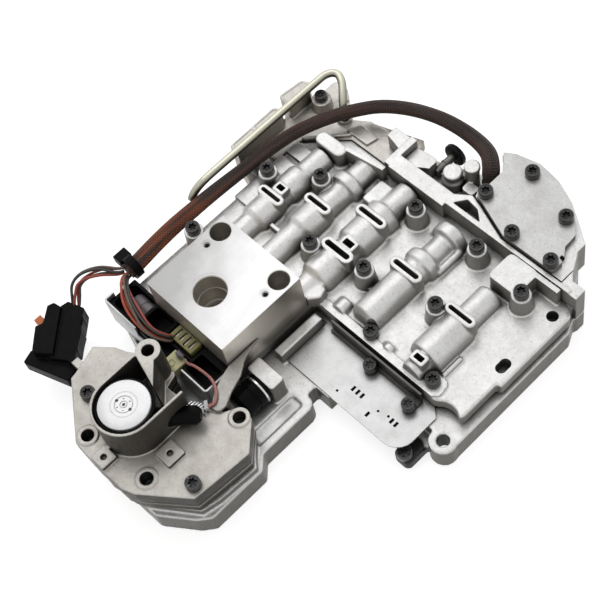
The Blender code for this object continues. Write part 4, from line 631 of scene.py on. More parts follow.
# Upper housing: barrels round the valve bores, melted into the deck with soft fillets
BARRELS = {
    "a": {"x": -0.0645, "slot": (0.0383, 0.0175, 0.0028, 0.0440),
          "outside": [(-0.0012, 0.0088), (0.0175, 0.0088), (0.0215, 0.0113), (0.0350, 0.0114),
                      (0.0400, 0.0095), (0.0475, 0.0088), (0.0500, 0.0111), (0.0655, 0.0111),
                      (0.0675, 0.0092), (0.0880, 0.0090)]},
    "b": {"x": -0.0345, "slot": (0.0539, 0.0180, 0.0030, 0.0450),
          "outside": [(-0.0012, 0.0094), (0.0325, 0.0094), (0.0360, 0.0121), (0.0510, 0.0121),
                      (0.0570, 0.0098), (0.0755, 0.0095), (0.0770, 0.0126), (0.0840, 0.0124),
                      (0.0860, 0.0092), (0.1005, 0.0090)]},
    "c": {"x": 0.0009, "slot": (0.0693, 0.0210, 0.0032, 0.0465),
          "outside": [(-0.0012, 0.0085), (0.0125, 0.0092), (0.0160, 0.0130), (0.0335, 0.0130),
                      (0.0400, 0.0115), (0.0470, 0.0095), (0.0505, 0.0130), (0.0660, 0.0130),
                      (0.0700, 0.0115), (0.0745, 0.0130), (0.0815, 0.0130), (0.0835, 0.0095),
                      (0.1050, 0.0093)]},
    "d": {"x": 0.0464, "slot": (0.0552, 0.0210, 0.0034, 0.0458),
          "outside": [(0.0135, 0.0075), (0.0165, 0.0117), (0.0560, 0.0117), (0.0590, 0.0105),
                      (0.0640, 0.0108), (0.0660, 0.0130), (0.0725, 0.0130), (0.0755, 0.0086),
                      (0.0900, 0.0084), (0.0915, 0.0127), (0.0990, 0.0127), (0.1000, 0.0118)]},
    "e": {"x": 0.0953, "slot": (0.0533, 0.0190, 0.0028, 0.0466),
          "outside": [(0.0070, 0.0078), (0.0185, 0.0084), (0.0205, 0.0130), (0.0505, 0.0130),
                      (0.0560, 0.0100), (0.0580, 0.0093), (0.0800, 0.0093), (0.0815, 0.0083)]},
}
DECK_OUTLINE = (
    [(-0.0900, -0.0660), (0.0105, -0.0660), (0.0105, 0.0040), (0.1170, 0.0040, 0.002)]
    + arc(0.1285, -0.0035, 0.0125, 135, 45, 12)
    + [(0.1390, 0.0085), (0.1390, 0.0380), (0.1425, 0.0380), (0.1425, 0.1030, 0.003), (0.1380, 0.1080),
       (0.1290, 0.1120), (-0.0620, 0.1120), (-0.0900, 0.0870)])
FLANGE_OUTLINE = [
    (0.0110, 0.0045), (0.1150, 0.0045), (0.1190, 0.0080, 0.003), (0.1175, 0.0190, 0.005),
    (0.1010, 0.0190, 0.005), (0.0960, 0.0105), (0.0170, 0.0105)]
DECK_SCREWS = {
    "deck_screw_1": (0.0700, 0.0965), "deck_screw_2": (0.1137, 0.0896),
    "deck_screw_3": (0.0193, 0.0929), "deck_screw_4": (0.0792, 0.0480),
    "deck_screw_5": (0.0258, 0.0374), "deck_screw_6": (-0.0150, 0.0283),
    "deck_screw_7": (-0.0470, 0.0697), "deck_screw_8": (-0.0793, 0.0498),
    "deck_screw_9": (-0.0830, -0.0160)}
FLANGE_SCREWS = {"flange_screw_1": (0.0560, 0.0112), "flange_screw_2": (0.1090, 0.0125)}
EXHAUST_PORTS = [
    (0.0965, 0.0146, 0.0070, 0.0040), (0.0040, 0.0450, 0.0080, 0.0048),
    (-0.0625, 0.0463, 0.0060, 0.0042)]
LONG_SLOT = (0.0020, 0.0365, 0.0215, 0.0042, 0.0458)


def barrels_and_deck():
    """The deck with its barrels, soft where they meet."""
    shape = Shape()
    shape.slab(rounded(DECK_OUTLINE), DECK_FOOT, DECK_TOP)
    for barrel in BARRELS.values():
        shape.turned(barrel["outside"], (barrel["x"], 0, BORE_HEIGHT), "Y")
    low = DECK_TOP - 2 * MM
    for x, start, end, radius, height in (
            (0.0280, 0.0090, 0.0185, 0.0058, 0.0294), (0.0715, 0.0090, 0.0140, 0.0052, 0.0282),
            (0.0585, 0.0700, 0.0930, 0.0027, 0.0336), (0.1110, 0.0190, 0.0365, 0.0018, 0.0315)):
        shape.turned([(start, radius), (end, radius)], (x, 0, height), "Y")
    shape.slab(rounded([(-0.0050, -0.0012), (0.0105, -0.0012), (0.0165, 0.0060), (0.0140, 0.0130),
                        (0.0050, 0.0140)]), low, 0.0396)
    shape.slab(rounded(rectangle(-0.0190, -0.0060, 0.0790, 0.0985, 0.002)), low, 0.0380)
    shape.slab(rounded(rectangle(-0.0760, -0.0500, 0.0895, 0.1000, 0.0048)), low, 0.0440)
    return melted(shape.mesh_object("upper_casting"), 0.55 * MM, 22)


def upper_casting(finish):
    """The soft body with crisp bosses, rims and pads, and its slots, bores and holes."""
    piece = barrels_and_deck()
    low = DECK_TOP - 2 * MM
    firm = Shape()
    firm.bm.from_mesh(piece.data)
    firm.slab(rounded(FLANGE_OUTLINE), low, FLANGE_TOP)
    for x, y in DECK_SCREWS.values():
        firm.turned([(low, 0.0080), (DECK_TOP + 1 * MM, 0.0077), (BOSS_TOP - 0.6 * MM, 0.0067),
                     (BOSS_TOP, 0.0062)], (x, y, 0))
    for barrel in BARRELS.values():
        y, length, width, top = barrel["slot"]
        firm.loft([[(*point, height) for point in stadium(barrel["x"], y, length + grow, width + grow)]
                   for height, grow in ((BORE_HEIGHT, 6.4 * MM), (top - 0.5 * MM, 5.4 * MM),
                                        (top, 4.4 * MM))])
    x, y, length, width, top = LONG_SLOT
    firm.slab(stadium(x, y, length + 5.2 * MM, width + 5.2 * MM), BORE_HEIGHT, top)
    for x, y, wide, deep in EXHAUST_PORTS:
        firm.slab(rounded(rectangle(x - wide / 2 - 2 * MM, x + wide / 2 + 2 * MM, y - deep / 2 - 2 * MM,
                                    y + deep / 2 + 2 * MM, 1.5 * MM)), BORE_HEIGHT, 0.0452)
    firm.slab(rounded(rectangle(0.0885, 0.1120, 0.0862, 0.1085, 0.003)), low, BOSS_TOP)
    firm.slab(rounded(rectangle(0.1110, 0.1300, 0.1045, 0.1083)), low, BOSS_TOP)
    firm.slab(rounded([(-0.0520, 0.0965), (-0.0200, 0.1010), (-0.0200, 0.1045), (-0.0520, 0.0998)]),
              low, 0.0445)
    for left, right, front, back, top in (
            (-0.0898, -0.0700, 0.0250, 0.0705, 0.0333), (-0.0898, -0.0700, 0.0745, 0.0860, 0.0333),
            (-0.0520, -0.0340, 0.0235, 0.0262, 0.0363), (0.0200, 0.0360, 0.0330, 0.0370, 0.0333)):
        firm.slab(rounded(rectangle(left, right, front, back)), low, top)
    bpy.data.objects.remove(piece)
    piece = melted(firm.mesh_object("upper_casting"), 0.5 * MM, 4)
    thinned(piece, 180000)
    for cutter in upper_cutters():
        carved(piece, cutter)
    return placed(piece, finish, "cast_aluminium", "upper_housing")


def upper_cutters():
    """The crisp cuts of the upper housing, in groups that don't touch each other."""
    slots, bores, holes = Shape(), Shape(), Shape()
    for barrel in BARRELS.values():
        y, length, width, top = barrel["slot"]
        slots.loft([[(*point, height) for point in stadium(barrel["x"], y, length + grow, width + grow)]
                    for height, grow in ((BORE_HEIGHT - 2 * MM, 0), (top - 0.35 * MM, 0),
                                         (top + 0.6 * MM, 0.9 * MM))])
    x, y, length, width, top = LONG_SLOT
    slots.slab(stadium(x, y, length, width), BORE_HEIGHT + 2 * MM, top + 1 * MM)
    for x, y, wide, deep in EXHAUST_PORTS[:1] + EXHAUST_PORTS[2:]:
        slots.slab(rounded(rectangle(x - wide / 2, x + wide / 2, y - deep / 2, y + deep / 2, 0.0008)),
                   BORE_HEIGHT + 1 * MM, 0.05)
    x, y, wide, deep = EXHAUST_PORTS[1]
    bores.slab(rounded(rectangle(x - wide / 2, x + wide / 2, y - deep / 2, y + deep / 2, 0.0008)),
               BORE_HEIGHT + 2 * MM, 0.05)
    for x, y in DECK_SCREWS.values():
        holes.turned([(BOSS_TOP - 5 * MM, 0.0033), (BOSS_TOP + 1 * MM, 0.0033)], (x, y, 0), sides=24)
    for x, y in FLANGE_SCREWS.values():
        holes.turned([(FLANGE_TOP - 1 * MM, 0.0033), (FLANGE_TOP, 0.0033), (FLANGE_TOP, 0.0056),
                      (0.05, 0.0056)], (x, y, 0), sides=40)
    holes.turned([(DECK_FOOT - 1 * MM, 0.0040), (DECK_TOP + 1 * MM, 0.0040)], (0.1332, 0.0966, 0))
    holes.slab(rounded(rectangle(0.12985, 0.13735, 0.0443, 0.0557, 0.0036)), DECK_FOOT - 1 * MM,
               DECK_TOP + 1 * MM)
    return slots, bores, holes


def soft_copy(node, finish, slot, voxel, passes, most):
    """A CAD casting with its edges softened."""
    piece = melted(Shape().node(node).mesh_object(node + "_casting"), voxel, passes)
    return placed(thinned(piece, most), finish, slot, node)


# Rear housing: its wing with the post and the pin, and the short pipe
PLATE_FOOT = 0.0183
REAR_OUTLINE = [
    (0.0400, 0.1262, 0.003), (0.0500, 0.1235), (0.0545, 0.1217), (0.0775, 0.1131), (0.1262, 0.1131),
    (0.1262, 0.1250), (0.1195, 0.1370), (0.1195, 0.1440), (0.1050, 0.1545), (0.0920, 0.1630),
    (0.0765, 0.1695), (0.0590, 0.1720), (0.0410, 0.1680), (0.0330, 0.1620), (0.0375, 0.1575),
    (0.0435, 0.1500), (0.0435, 0.1370)]
REAR_HOUSING_TOP = 0.0440
WING_BOX = [
    (-0.0183, 0.1198), (-0.0070, 0.1205), (0.0000, 0.1250), (0.0002, 0.1323), (-0.0023, 0.1345),
    (-0.0095, 0.1343), (-0.0183, 0.1320)]
WING_FLOOR = [
    (-0.0130, 0.1192), (0.0410, 0.1262), (0.0445, 0.1390), (0.0300, 0.1480), (0.0180, 0.1470),
    (0.0050, 0.1345), (-0.0130, 0.1330)]
WING_POST = (0.0145, 0.1330)
WING_PIN = (0.0248, 0.1412)
PIPE_PLACE = (0.0010, 0.0290)


def rear_housing(finishes):
    """The rear casting in one body, and the transfer pipe with its seal."""
    shape = Shape()
    shape.slab(rounded(REAR_OUTLINE), PLATE_FOOT, REAR_HOUSING_TOP)
    shape.slab(rounded(WING_FLOOR), PLATE_FOOT, 0.0240)
    shape.slab(rounded(WING_BOX), PLATE_FOOT, 0.0385)
    shape.turned([(0.0200, 7.8 * MM), (0.0325, 7.8 * MM), (0.0345, 6.0 * MM), (0.0360, 6.0 * MM),
                  (0.0372, 6.8 * MM), (0.0392, 6.8 * MM), (0.0400, 6.0 * MM)], (*WING_POST, 0), sides=64)
    shape.turned([(0.0200, 4.9 * MM), (0.0425, 4.9 * MM), (0.0430, 5.6 * MM), (0.0462, 5.6 * MM),
                  (0.0467, 5.1 * MM)], (*WING_PIN, 0), sides=64)
    shape.slab(rounded(rectangle(0.0255, 0.0350, 0.1290, 0.1372, 0.002)), PLATE_FOOT, 0.0345)
    piece = melted(shape.mesh_object("rear_housing_casting"), 0.5 * MM, 3)
    placed(thinned(piece, 60000), finishes["cast_aluminium"], "cast_aluminium", "rear_housing")
    x, height = PIPE_PLACE
    pipe = Shape().turned([(0.1300, 3.0 * MM), (0.1385, 3.0 * MM), (0.1388, 3.4 * MM), (0.1400, 3.4 * MM),
                           (0.1403, 3.0 * MM), (0.1470, 3.0 * MM)], (x, 0, height), "Y", 40)
    placed(pipe.mesh_object("pipe_tube"), finishes["pipe"], "bright_steel")
    seal = Shape().turned([(0.1470, 5.0 * MM), (0.1474, 7.9 * MM), (0.1482, 8.5 * MM), (0.1506, 8.5 * MM),
                           (0.1516, 7.8 * MM), (0.1520, 6.2 * MM)], (x, 0, height), "Y", 64)
    placed(seal.mesh_object("pipe_seal"), finishes["black_rubber"], "black_rubber", "transfer_pipe")


# Side casting beyond the deck's left edge
SIDE_OUTLINE = [
    (-0.1140, 0.0600, 0.003), (-0.1085, 0.0450), (-0.0905, 0.0400), (-0.0905, 0.0873), (-0.0624, 0.1124),
    (-0.0200, 0.1124), (-0.0200, 0.1345), (-0.0240, 0.1450), (-0.0620, 0.1330), (-0.0760, 0.1240),
    (-0.0960, 0.1420, 0.004), (-0.1085, 0.1420, 0.003), (-0.1085, 0.1180), (-0.1130, 0.1170, 0.002),
    (-0.1130, 0.0870, 0.002), (-0.1090, 0.0840), (-0.1140, 0.0810, 0.002)]
SIDE_TOP = 0.0300
SIDE_BOSS = (-0.0985, 0.1195)
SIDE_BLOCKS = [
    [(-0.1215, 0.1000, 0.002), (-0.1192, 0.1205, 0.003), (-0.1135, 0.1228, 0.002), (-0.1080, 0.1175),
     (-0.1080, 0.0975)],
    [(-0.1168, 0.0480, 0.002), (-0.1172, 0.0905, 0.003), (-0.1120, 0.0935), (-0.1060, 0.0880),
     (-0.1060, 0.0460)]]
SIDE_PANELS = [
    [(-0.1200, 0.1015), (-0.1178, 0.1190), (-0.1135, 0.1205), (-0.1100, 0.1165), (-0.1100, 0.0990)],
    [(-0.1155, 0.0500), (-0.1157, 0.0680), (-0.1075, 0.0680), (-0.1075, 0.0490)],
    [(-0.1157, 0.0705), (-0.1158, 0.0892), (-0.1118, 0.0915), (-0.1075, 0.0872), (-0.1075, 0.0705)]]
TUBE_SOCKET = (-0.0782, 0.1213)


def side_casting(finishes):
    """The side casting with its blocks, its bosses and the tube's socket."""
    shape = Shape()
    shape.slab(rounded(SIDE_OUTLINE), PLATE_FOOT, SIDE_TOP)
    x, y = SIDE_BOSS
    shape.turned([(SIDE_TOP - MM, 7.6 * MM), (0.0395, 7.0 * MM), (0.0400, 6.5 * MM)], (x, y, 0))
    shape.turned([(SIDE_TOP - MM, 5.6 * MM), (SIDE_TOP + 3 * MM, 5.0 * MM)], (*TUBE_SOCKET, 0))
    for rib, rise in (
            (rectangle(-0.1090, -0.0905, 0.0480, 0.0540, 0.001), 4 * MM),
            (rectangle(-0.1000, -0.0905, 0.0640, 0.0665, 0.001), 2 * MM),
            ([(-0.0700, 0.1150), (-0.0500, 0.1150), (-0.0480, 0.1240), (-0.0660, 0.1250)], 2 * MM),
            ([(-0.0900, 0.0900), (-0.0880, 0.0890), (-0.0640, 0.1130), (-0.0655, 0.1150)], 3 * MM)):
        shape.slab(rounded(rib), SIDE_TOP - MM, SIDE_TOP + rise)
    for block in SIDE_BLOCKS:
        shape.slab(rounded(block), PLATE_FOOT, 0.0432)
    piece = shape.mesh_object("side_casting_body")
    cuts = Shape()
    cuts.turned([(SIDE_TOP - 6 * MM, 3.2 * MM), (0.05, 3.2 * MM)], (*TUBE_SOCKET, 0))
    cuts.turned([(SIDE_TOP, 3.4 * MM), (0.05, 3.4 * MM)], (x, y, 0))
    cuts.slab(rounded([(-0.0950, 0.1300), (-0.0220, 0.1355), (-0.0150, 0.1500), (-0.0700, 0.1500)]),
              SIDE_TOP - 2 * MM, SIDE_TOP + MM)
    piece = melted(piece, 0.45 * MM, 3)
    for panel in SIDE_PANELS:
        cuts.slab(rounded(panel), 0.0426, 0.05)
    piece = melted(carved(piece, cuts), 0.45 * MM, 2)
    placed(thinned(piece, 70000), finishes["side_casting"], "cast_aluminium_warm", "side_casting")


# Cap screws
SCREW_LOBES = 6


def screw_mesh(radius, height, depth=2.7 * MM):
    """Head with a rounded rim, a shallow dish and a six-lobed recess, and its shank."""
    sides = 72
    turns = [2 * math.pi * step / sides for step in range(sides)]
    plain = [1.0] * sides
    lobes = [0.84 + 0.16 * math.cos(SCREW_LOBES * t) for t in turns]
    rings = []
    for share, height_at, form in (
            (0.6, -height * 2.1, plain), (0.6, -height, plain), (0.97, -height, plain),
            (1.0, -height * 0.94, plain), (1.0, -height * 0.16, plain), (0.975, -height * 0.06, plain),
            (0.91, 0.0, plain), (0.80, 0.0, plain), (0.76, -0.04 * height, plain),
            (0.62, -0.05 * height, lobes), (0.56, -0.1 * height, lobes), (0.54, -depth, lobes),
            (0.3, -depth - 0.05 * height, plain)):
        rings.append([(radius * share * f * math.cos(t), radius * share * f * math.sin(t), height_at)
                      for t, f in zip(turns, form)])
    shape = Shape().loft(rings)
    piece = shape.mesh_object("screw_pattern")
    mesh = piece.data
    bpy.data.objects.remove(piece)
    return mesh


def screws(finish):
    """One detailed screw at each CAD screw, turned by its own angle."""
    meshes = {}
    for number, node in enumerate(sorted(n for n in NODES if "_screw_" in n)):
        low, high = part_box(node)
        radius = round((high.x - low.x) / 2, 4)
        height = 0.0050
        if radius not in meshes:
            meshes[radius] = screw_mesh(radius, height)
        piece = link(bpy.data.objects.new(node + "_head", meshes[radius].copy()))
        piece.data.transform(Matrix.Translation(((low.x + high.x) / 2, (low.y + high.y) / 2, high.z))
                             @ Matrix.Rotation(number * 0.7, 4, "Z"))
        placed(piece, finish, "dark_screw_steel", node, angle=40)


# Cords
def smooth_route(points, step):
    """Points spaced by about one step along a smooth curve through the given ones."""
    ways = [Vector(p) for p in points]
    ways = [2 * ways[0] - ways[1]] + ways + [2 * ways[-1] - ways[-2]]
    fine = []
    for index in range(1, len(ways) - 2):
        a, b, c, d = ways[index - 1:index + 3]
        pieces = max(1, round((c - b).length / step))
        for piece in range(pieces):
            t = piece / pieces
            fine.append(0.5 * (2 * b + (c - a) * t + (2 * a - 5 * b + 4 * c - d) * t * t
                               + (3 * b - a - 3 * c + d) * t ** 3))
    fine.append(ways[-2])
    return fine


def frames_along(route, level=False):
    """Middle, side and lift of each point of a route, without twist or with a level side, and its
    distance along."""
    tangents = [(route[min(i + 1, len(route) - 1)] - route[max(i - 1, 0)]).normalized()
                for i in range(len(route))]
    side = tangents[0].orthogonal().normalized()
    made, distance = [], 0.0
    for index, (place, tangent) in enumerate(zip(route, tangents)):
        if level:
            side = tangent.cross(Vector((0, 0, 1))).normalized()
        side = (side - tangent * side.dot(tangent)).normalized()
        if index:
            distance += (place - route[index - 1]).length
        made.append((place, side, tangent.cross(side), distance))
    return made


def swept(bm, frames, radius, sides, number=0):
    """A closed tube along frames. radius is a function of (distance, turn). Marks its sweep places."""
    layer = bm.loops.layers.uv.get("sweep") or bm.loops.layers.uv.new("sweep")
    rows = []
    for place, side, lift, distance in frames:
        row = []
        for step in range(sides):
            turn = 2 * math.pi * step / sides
            out = side * math.cos(turn) + lift * math.sin(turn)
            row.append(bm.verts.new(place + out * radius(distance, turn)))
        rows.append(row)
    for row, frame_at in ((rows[0], frames[0]), (rows[-1], frames[-1])):
        face = bm.faces.new(row)
        for loop in face.loops:
            loop[layer].uv = (frame_at[3], number + 0.5)
    for index in range(len(rows) - 1):
        for step in range(sides):
            after = (step + 1) % sides
            face = bm.faces.new((rows[index][step], rows[index][after], rows[index + 1][after],
                                 rows[index + 1][step]))
            marks = ((index, step), (index, step + 1), (index + 1, step + 1), (index + 1, step))
            for loop, (at, turned_by) in zip(face.loops, marks):
                loop[layer].uv = (frames[at][3], number + 0.02 + 0.96 * turned_by / sides)


SLEEVE_ROUTE = [
    (-0.0965, -0.0660, 0.0400), (-0.0966, -0.0560, 0.0400), (-0.0978, -0.0400, 0.0405),
    (-0.0985, -0.0200, 0.0410), (-0.0982, 0.0050, 0.0410), (-0.0972, 0.0250, 0.0410),
    (-0.0956, 0.0452, 0.0412), (-0.0934, 0.0658, 0.0422), (-0.0893, 0.0862, 0.0430),
    (-0.0815, 0.1055, 0.0436), (-0.0712, 0.1237, 0.0436), (-0.0585, 0.1392, 0.0436),
    (-0.0412, 0.1505, 0.0436), (-0.0210, 0.1576, 0.0440), (-0.0025, 0.1600, 0.0445),
    (0.0142, 0.1590, 0.0455), (0.0270, 0.1548, 0.0480), (0.0345, 0.1492, 0.0474),
    (0.0372, 0.1458, 0.0420), (0.0370, 0.1440, 0.0330)]
SLEEVE_WIDE = ((0.0, 0.05, 0.12, 0.25, 0.32), (0.0063, 0.0060, 0.0047, 0.0049, 0.0060))
SLEEVE_HIGH = 0.0046
CONNECTOR_WIRES = [
    (-0.0993, -0.0669, 0.0400), (-0.1018, -0.0710, 0.0405), (-0.1099, -0.0788, 0.0420),
    (-0.1147, -0.0885, 0.0425), (-0.1146, -0.0965, 0.0410), (-0.1105, -0.1020, 0.0365),
    (-0.1080, -0.1052, 0.0325), (-0.1072, -0.1075, 0.0305)]
HOUSING_WIRES = [
    (-0.0941, -0.0670, 0.0400), (-0.0925, -0.0708, 0.0418), (-0.0865, -0.0756, 0.0455),
    (-0.0761, -0.0813, 0.0468), (-0.0634, -0.0851, 0.0468), (-0.0509, -0.0868, 0.0462),
    (-0.0424, -0.0856, 0.0450), (-0.0362, -0.0822, 0.0432), (-0.0345, -0.0800, 0.0415)]
PINK_ROUTE = [
    (-0.0150, -0.0852, 0.0408), (-0.0110, -0.0850, 0.0425), (-0.0060, -0.0842, 0.0450),
    (0.0028, -0.0835, 0.0468), (0.0120, -0.0841, 0.0486), (0.0202, -0.0880, 0.0492),
    (0.0246, -0.0936, 0.0492), (0.0232, -0.0980, 0.0484)]
PINK_SLEEVE = [(-0.0222, -0.0847, 0.0440), (-0.0195, -0.0852, 0.0446), (-0.0170, -0.0850, 0.0440)]


def sleeve_radius(distance, turn):
    """The sleeve's outside: two bundles side by side that slowly twist, under a fine weave."""
    wide = float(np.interp(distance, *SLEEVE_WIDE))
    oval = wide * SLEEVE_HIGH / math.hypot(SLEEVE_HIGH * math.cos(turn), wide * math.sin(turn))
    valley = 0.07 * math.exp(-((math.cos(turn - 0.5 * math.sin(11 * distance))) / 0.25) ** 2)
    ripple = 0.015 * math.sin(5 * turn + 40 * distance) + 0.012 * math.sin(3 * turn - 90 * distance)
    return oval * (1.0 - valley + ripple)


def sleeve(finish):
    """The braided sleeve of the harness."""
    shape = Shape()
    swept(shape.bm, frames_along(smooth_route(SLEEVE_ROUTE, 1.2 * MM), level=True), sleeve_radius, 64)
    piece = shape.mesh_object("braided_sleeve_tube")
    return placed(piece, finish, "brown_braid", "harness_sleeve", angle=80)


def bunch(name, points, node, finish, slot, count, radius, wide, high, twist=60.0):
    """Thin wires that wind slowly round a route, and spread between its ends."""
    shape = Shape()
    frames = frames_along(smooth_route(points, 1.0 * MM), level=True)
    length = frames[-1][3]
    for wire in range(count):
        start = 2 * math.pi * wire / count
        own = []
        for place, side, lift, distance in frames:
            turn = start + twist * distance + 0.35 * math.sin(70 * distance + wire * 2.1)
            spread = math.sin(math.pi * min(1.0, max(0.0, distance / length))) ** 0.6
            out = side * math.cos(turn) * (high + (wide - high) * spread) + lift * math.sin(turn) * high
            own.append((place + out, side, lift, distance))
        swept(shape.bm, own, lambda distance, turn: radius, 16, wire)
    return placed(shape.mesh_object(name), finish, slot, node, angle=80)


# Milled suction block and the cast bracket on its side
BLOCK = (-0.0620, 0.0110, -0.0696, -0.0017)
BLOCK_FOOT = 0.0303
BLOCK_TOP = 0.0680
UNDERCUT = (0.0110, 0.0125)
PORT = (-0.0260, -0.0463)
DOWELS = [(-0.0541, -0.0115), (0.0017, -0.0115)]
PIN_HOLES = [(-0.0535, -0.0242), (0.0023, -0.0242)]
BRACKET_OUTLINE = [
    (0.0113, -0.0420), (0.0150, -0.0590, 0.02), (0.0222, -0.0690, 0.006), (0.0262, -0.0805, 0.006),
    (0.0310, -0.0900, 0.003), (0.0305, -0.0960, 0.003), (0.0250, -0.0972, 0.003), (0.0180, -0.0880, 0.004),
    (0.0135, -0.0770, 0.004), (0.0113, -0.0690)]


def edged(piece, width, angle=35.0, segments=3):
    """Small round edges all along the crisp edges of a piece."""
    return worked(piece, ("BEVEL", {"width": width, "segments": segments, "limit_method": "ANGLE",
                                    "angle_limit": math.radians(angle), "harden_normals": False}))


def suction_block(finishes):
    """The milled block with its bores, and the arm on its side."""
    left, right, front, back = BLOCK
    outline = rounded(rectangle(left, right, front, back, 0.8 * MM))
    piece = Shape().slab(outline, BLOCK_FOOT, BLOCK_TOP).mesh_object("milled_block")
    deep, high = UNDERCUT
    cuts = Shape()
    cuts.slab(rectangle(left - MM, right + MM, front - MM, front + deep), BLOCK_FOOT - MM,
              BLOCK_FOOT + high)
    cuts.turned([(BLOCK_TOP - 33 * MM, 8.8 * MM), (BLOCK_TOP - 27 * MM, 8.8 * MM),
                 (BLOCK_TOP - 27 * MM, 10.4 * MM), (BLOCK_TOP - 14 * MM, 10.4 * MM),
                 (BLOCK_TOP - 14 * MM, 11.2 * MM), (BLOCK_TOP - 0.7 * MM, 11.2 * MM),
                 (BLOCK_TOP - 0.12 * MM, 11.9 * MM), (BLOCK_TOP - 0.12 * MM, 13.4 * MM),
                 (BLOCK_TOP + MM, 13.4 * MM)], (*PORT, 0), sides=96)
    for x, y in DOWELS:
        cuts.turned([(BLOCK_TOP - 22 * MM, 5.5 * MM), (BLOCK_TOP - 19 * MM, 7.1 * MM),
                     (BLOCK_TOP - 0.4 * MM, 7.1 * MM), (BLOCK_TOP + 0.2 * MM, 7.7 * MM),
                     (BLOCK_TOP + MM, 7.7 * MM)], (x, y, 0), sides=72)
    for x, y in PIN_HOLES:
        cuts.turned([(BLOCK_TOP - 6 * MM, 1.5 * MM), (BLOCK_TOP - 1.1 * MM, 1.5 * MM),
                     (BLOCK_TOP - 0.2 * MM, 2.5 * MM), (BLOCK_TOP - 0.2 * MM, 3.6 * MM),
                     (BLOCK_TOP + MM, 3.6 * MM)], (x, y, 0), sides=40)
    carved(piece, cuts)
    edged(piece, 0.3 * MM)
    placed(piece, finishes["machined_aluminium"], "machined_aluminium", "suction_block", angle=28)
    arm = Shape().slab(rounded(BRACKET_OUTLINE), COVER_TOP + 0.3 * MM, COVER_TOP + 2.6 * MM)
    arm.turned([(0.0183, 3 * MM), (COVER_TOP + 1 * MM, 3 * MM)], (0.0270, -0.0893, 0))
    arm = melted(arm.mesh_object("block_bracket"), 0.4 * MM, 6)
    placed(thinned(arm, 20000), finishes["bracket"], "machined_aluminium", "suction_block")


# Solenoid in its nest
NEST = (-0.0037, -0.1366)
CAN_TOP = 0.0725
CAP_TOP = 0.0742
CAN_RADIUS = 0.0192
CAP_RADIUS = 0.0170
ARM_HEIGHT = 0.0545


def solenoid(finishes):
    """The can with its plug arm, and the white cap with its rings and holes."""
    can = Shape()
    can.turned([(COVER_TOP + 0.3 * MM, CAN_RADIUS), (CAN_TOP - 0.5 * MM, CAN_RADIUS),
                (CAN_TOP, CAN_RADIUS - 0.5 * MM), (CAN_TOP, CAP_RADIUS + 0.7 * MM),
                (CAN_TOP - 0.4 * MM, CAP_RADIUS + 0.3 * MM), (CAP_TOP - 4.3 * MM, CAP_RADIUS + 0.3 * MM),
                (CAP_TOP - 4.3 * MM, 0.05 * MM)], (*NEST, 0), sides=128)
    can = can.mesh_object("solenoid_body")
    arm = Shape()
    arm.turned([(10 * MM, 6.2 * MM), (24 * MM, 6.2 * MM), (24.6 * MM, 5.5 * MM), (26 * MM, 5.5 * MM),
                (26.6 * MM, 6.2 * MM), (40.9 * MM, 6.2 * MM), (43 * MM, 4.6 * MM), (44 * MM, 3.6 * MM)],
               (0, 0, 0), "Y", 48)
    bmesh.ops.transform(arm.bm, verts=arm.bm.verts, matrix=Matrix.Translation((*NEST, ARM_HEIGHT))
                        @ Matrix.Rotation(math.radians(-45), 4, "Z"))
    carved(can, arm, "UNION")
    placed(can, finishes["black_plastic"], "black_plastic", "solenoid_can", angle=30)
    top = CAP_TOP
    rings = [(top - 4 * MM, CAP_RADIUS), (top - 0.7 * MM, CAP_RADIUS), (top - 0.2 * MM, 16.75 * MM),
             (top, 16.3 * MM), (top, 8.9 * MM), (top - 0.2 * MM, 8.7 * MM), (top - 0.2 * MM, 8.45 * MM),
             (top, 8.25 * MM), (top, 6.1 * MM), (top - 0.45 * MM, 5.9 * MM), (top - 0.45 * MM, 5.5 * MM),
             (top - 0.05 * MM, 5.3 * MM), (top - 0.05 * MM, 2.6 * MM), (top - 0.5 * MM, 2.4 * MM),
             (top - 0.5 * MM, 1.9 * MM), (top - 0.1 * MM, 1.8 * MM), (top - 0.1 * MM, 1.1 * MM),
             (top - 1.8 * MM, 1.0 * MM), (top - 1.8 * MM, 0.02 * MM)]
    cap = Shape().turned(rings, (*NEST, 0), sides=128).mesh_object("solenoid_cap_disc")
    holes = Shape()
    for x, y, radius in ((0.0054, 0.0006, 1.1), (-0.0054, -0.0012, 1.1), (0.0012, 0.0040, 0.45),
                         (-0.0030, 0.0026, 0.4), (0.0028, -0.0030, 0.4), (-0.0016, -0.0040, 0.45)):
        holes.turned([(top - 2.2 * MM, radius * MM), (top + MM, radius * MM)],
                     (NEST[0] + x, NEST[1] + y, 0), sides=24)
    carved(cap, holes)
    placed(cap, finishes["white_plastic"], "white_plastic", "solenoid_cap", angle=25)


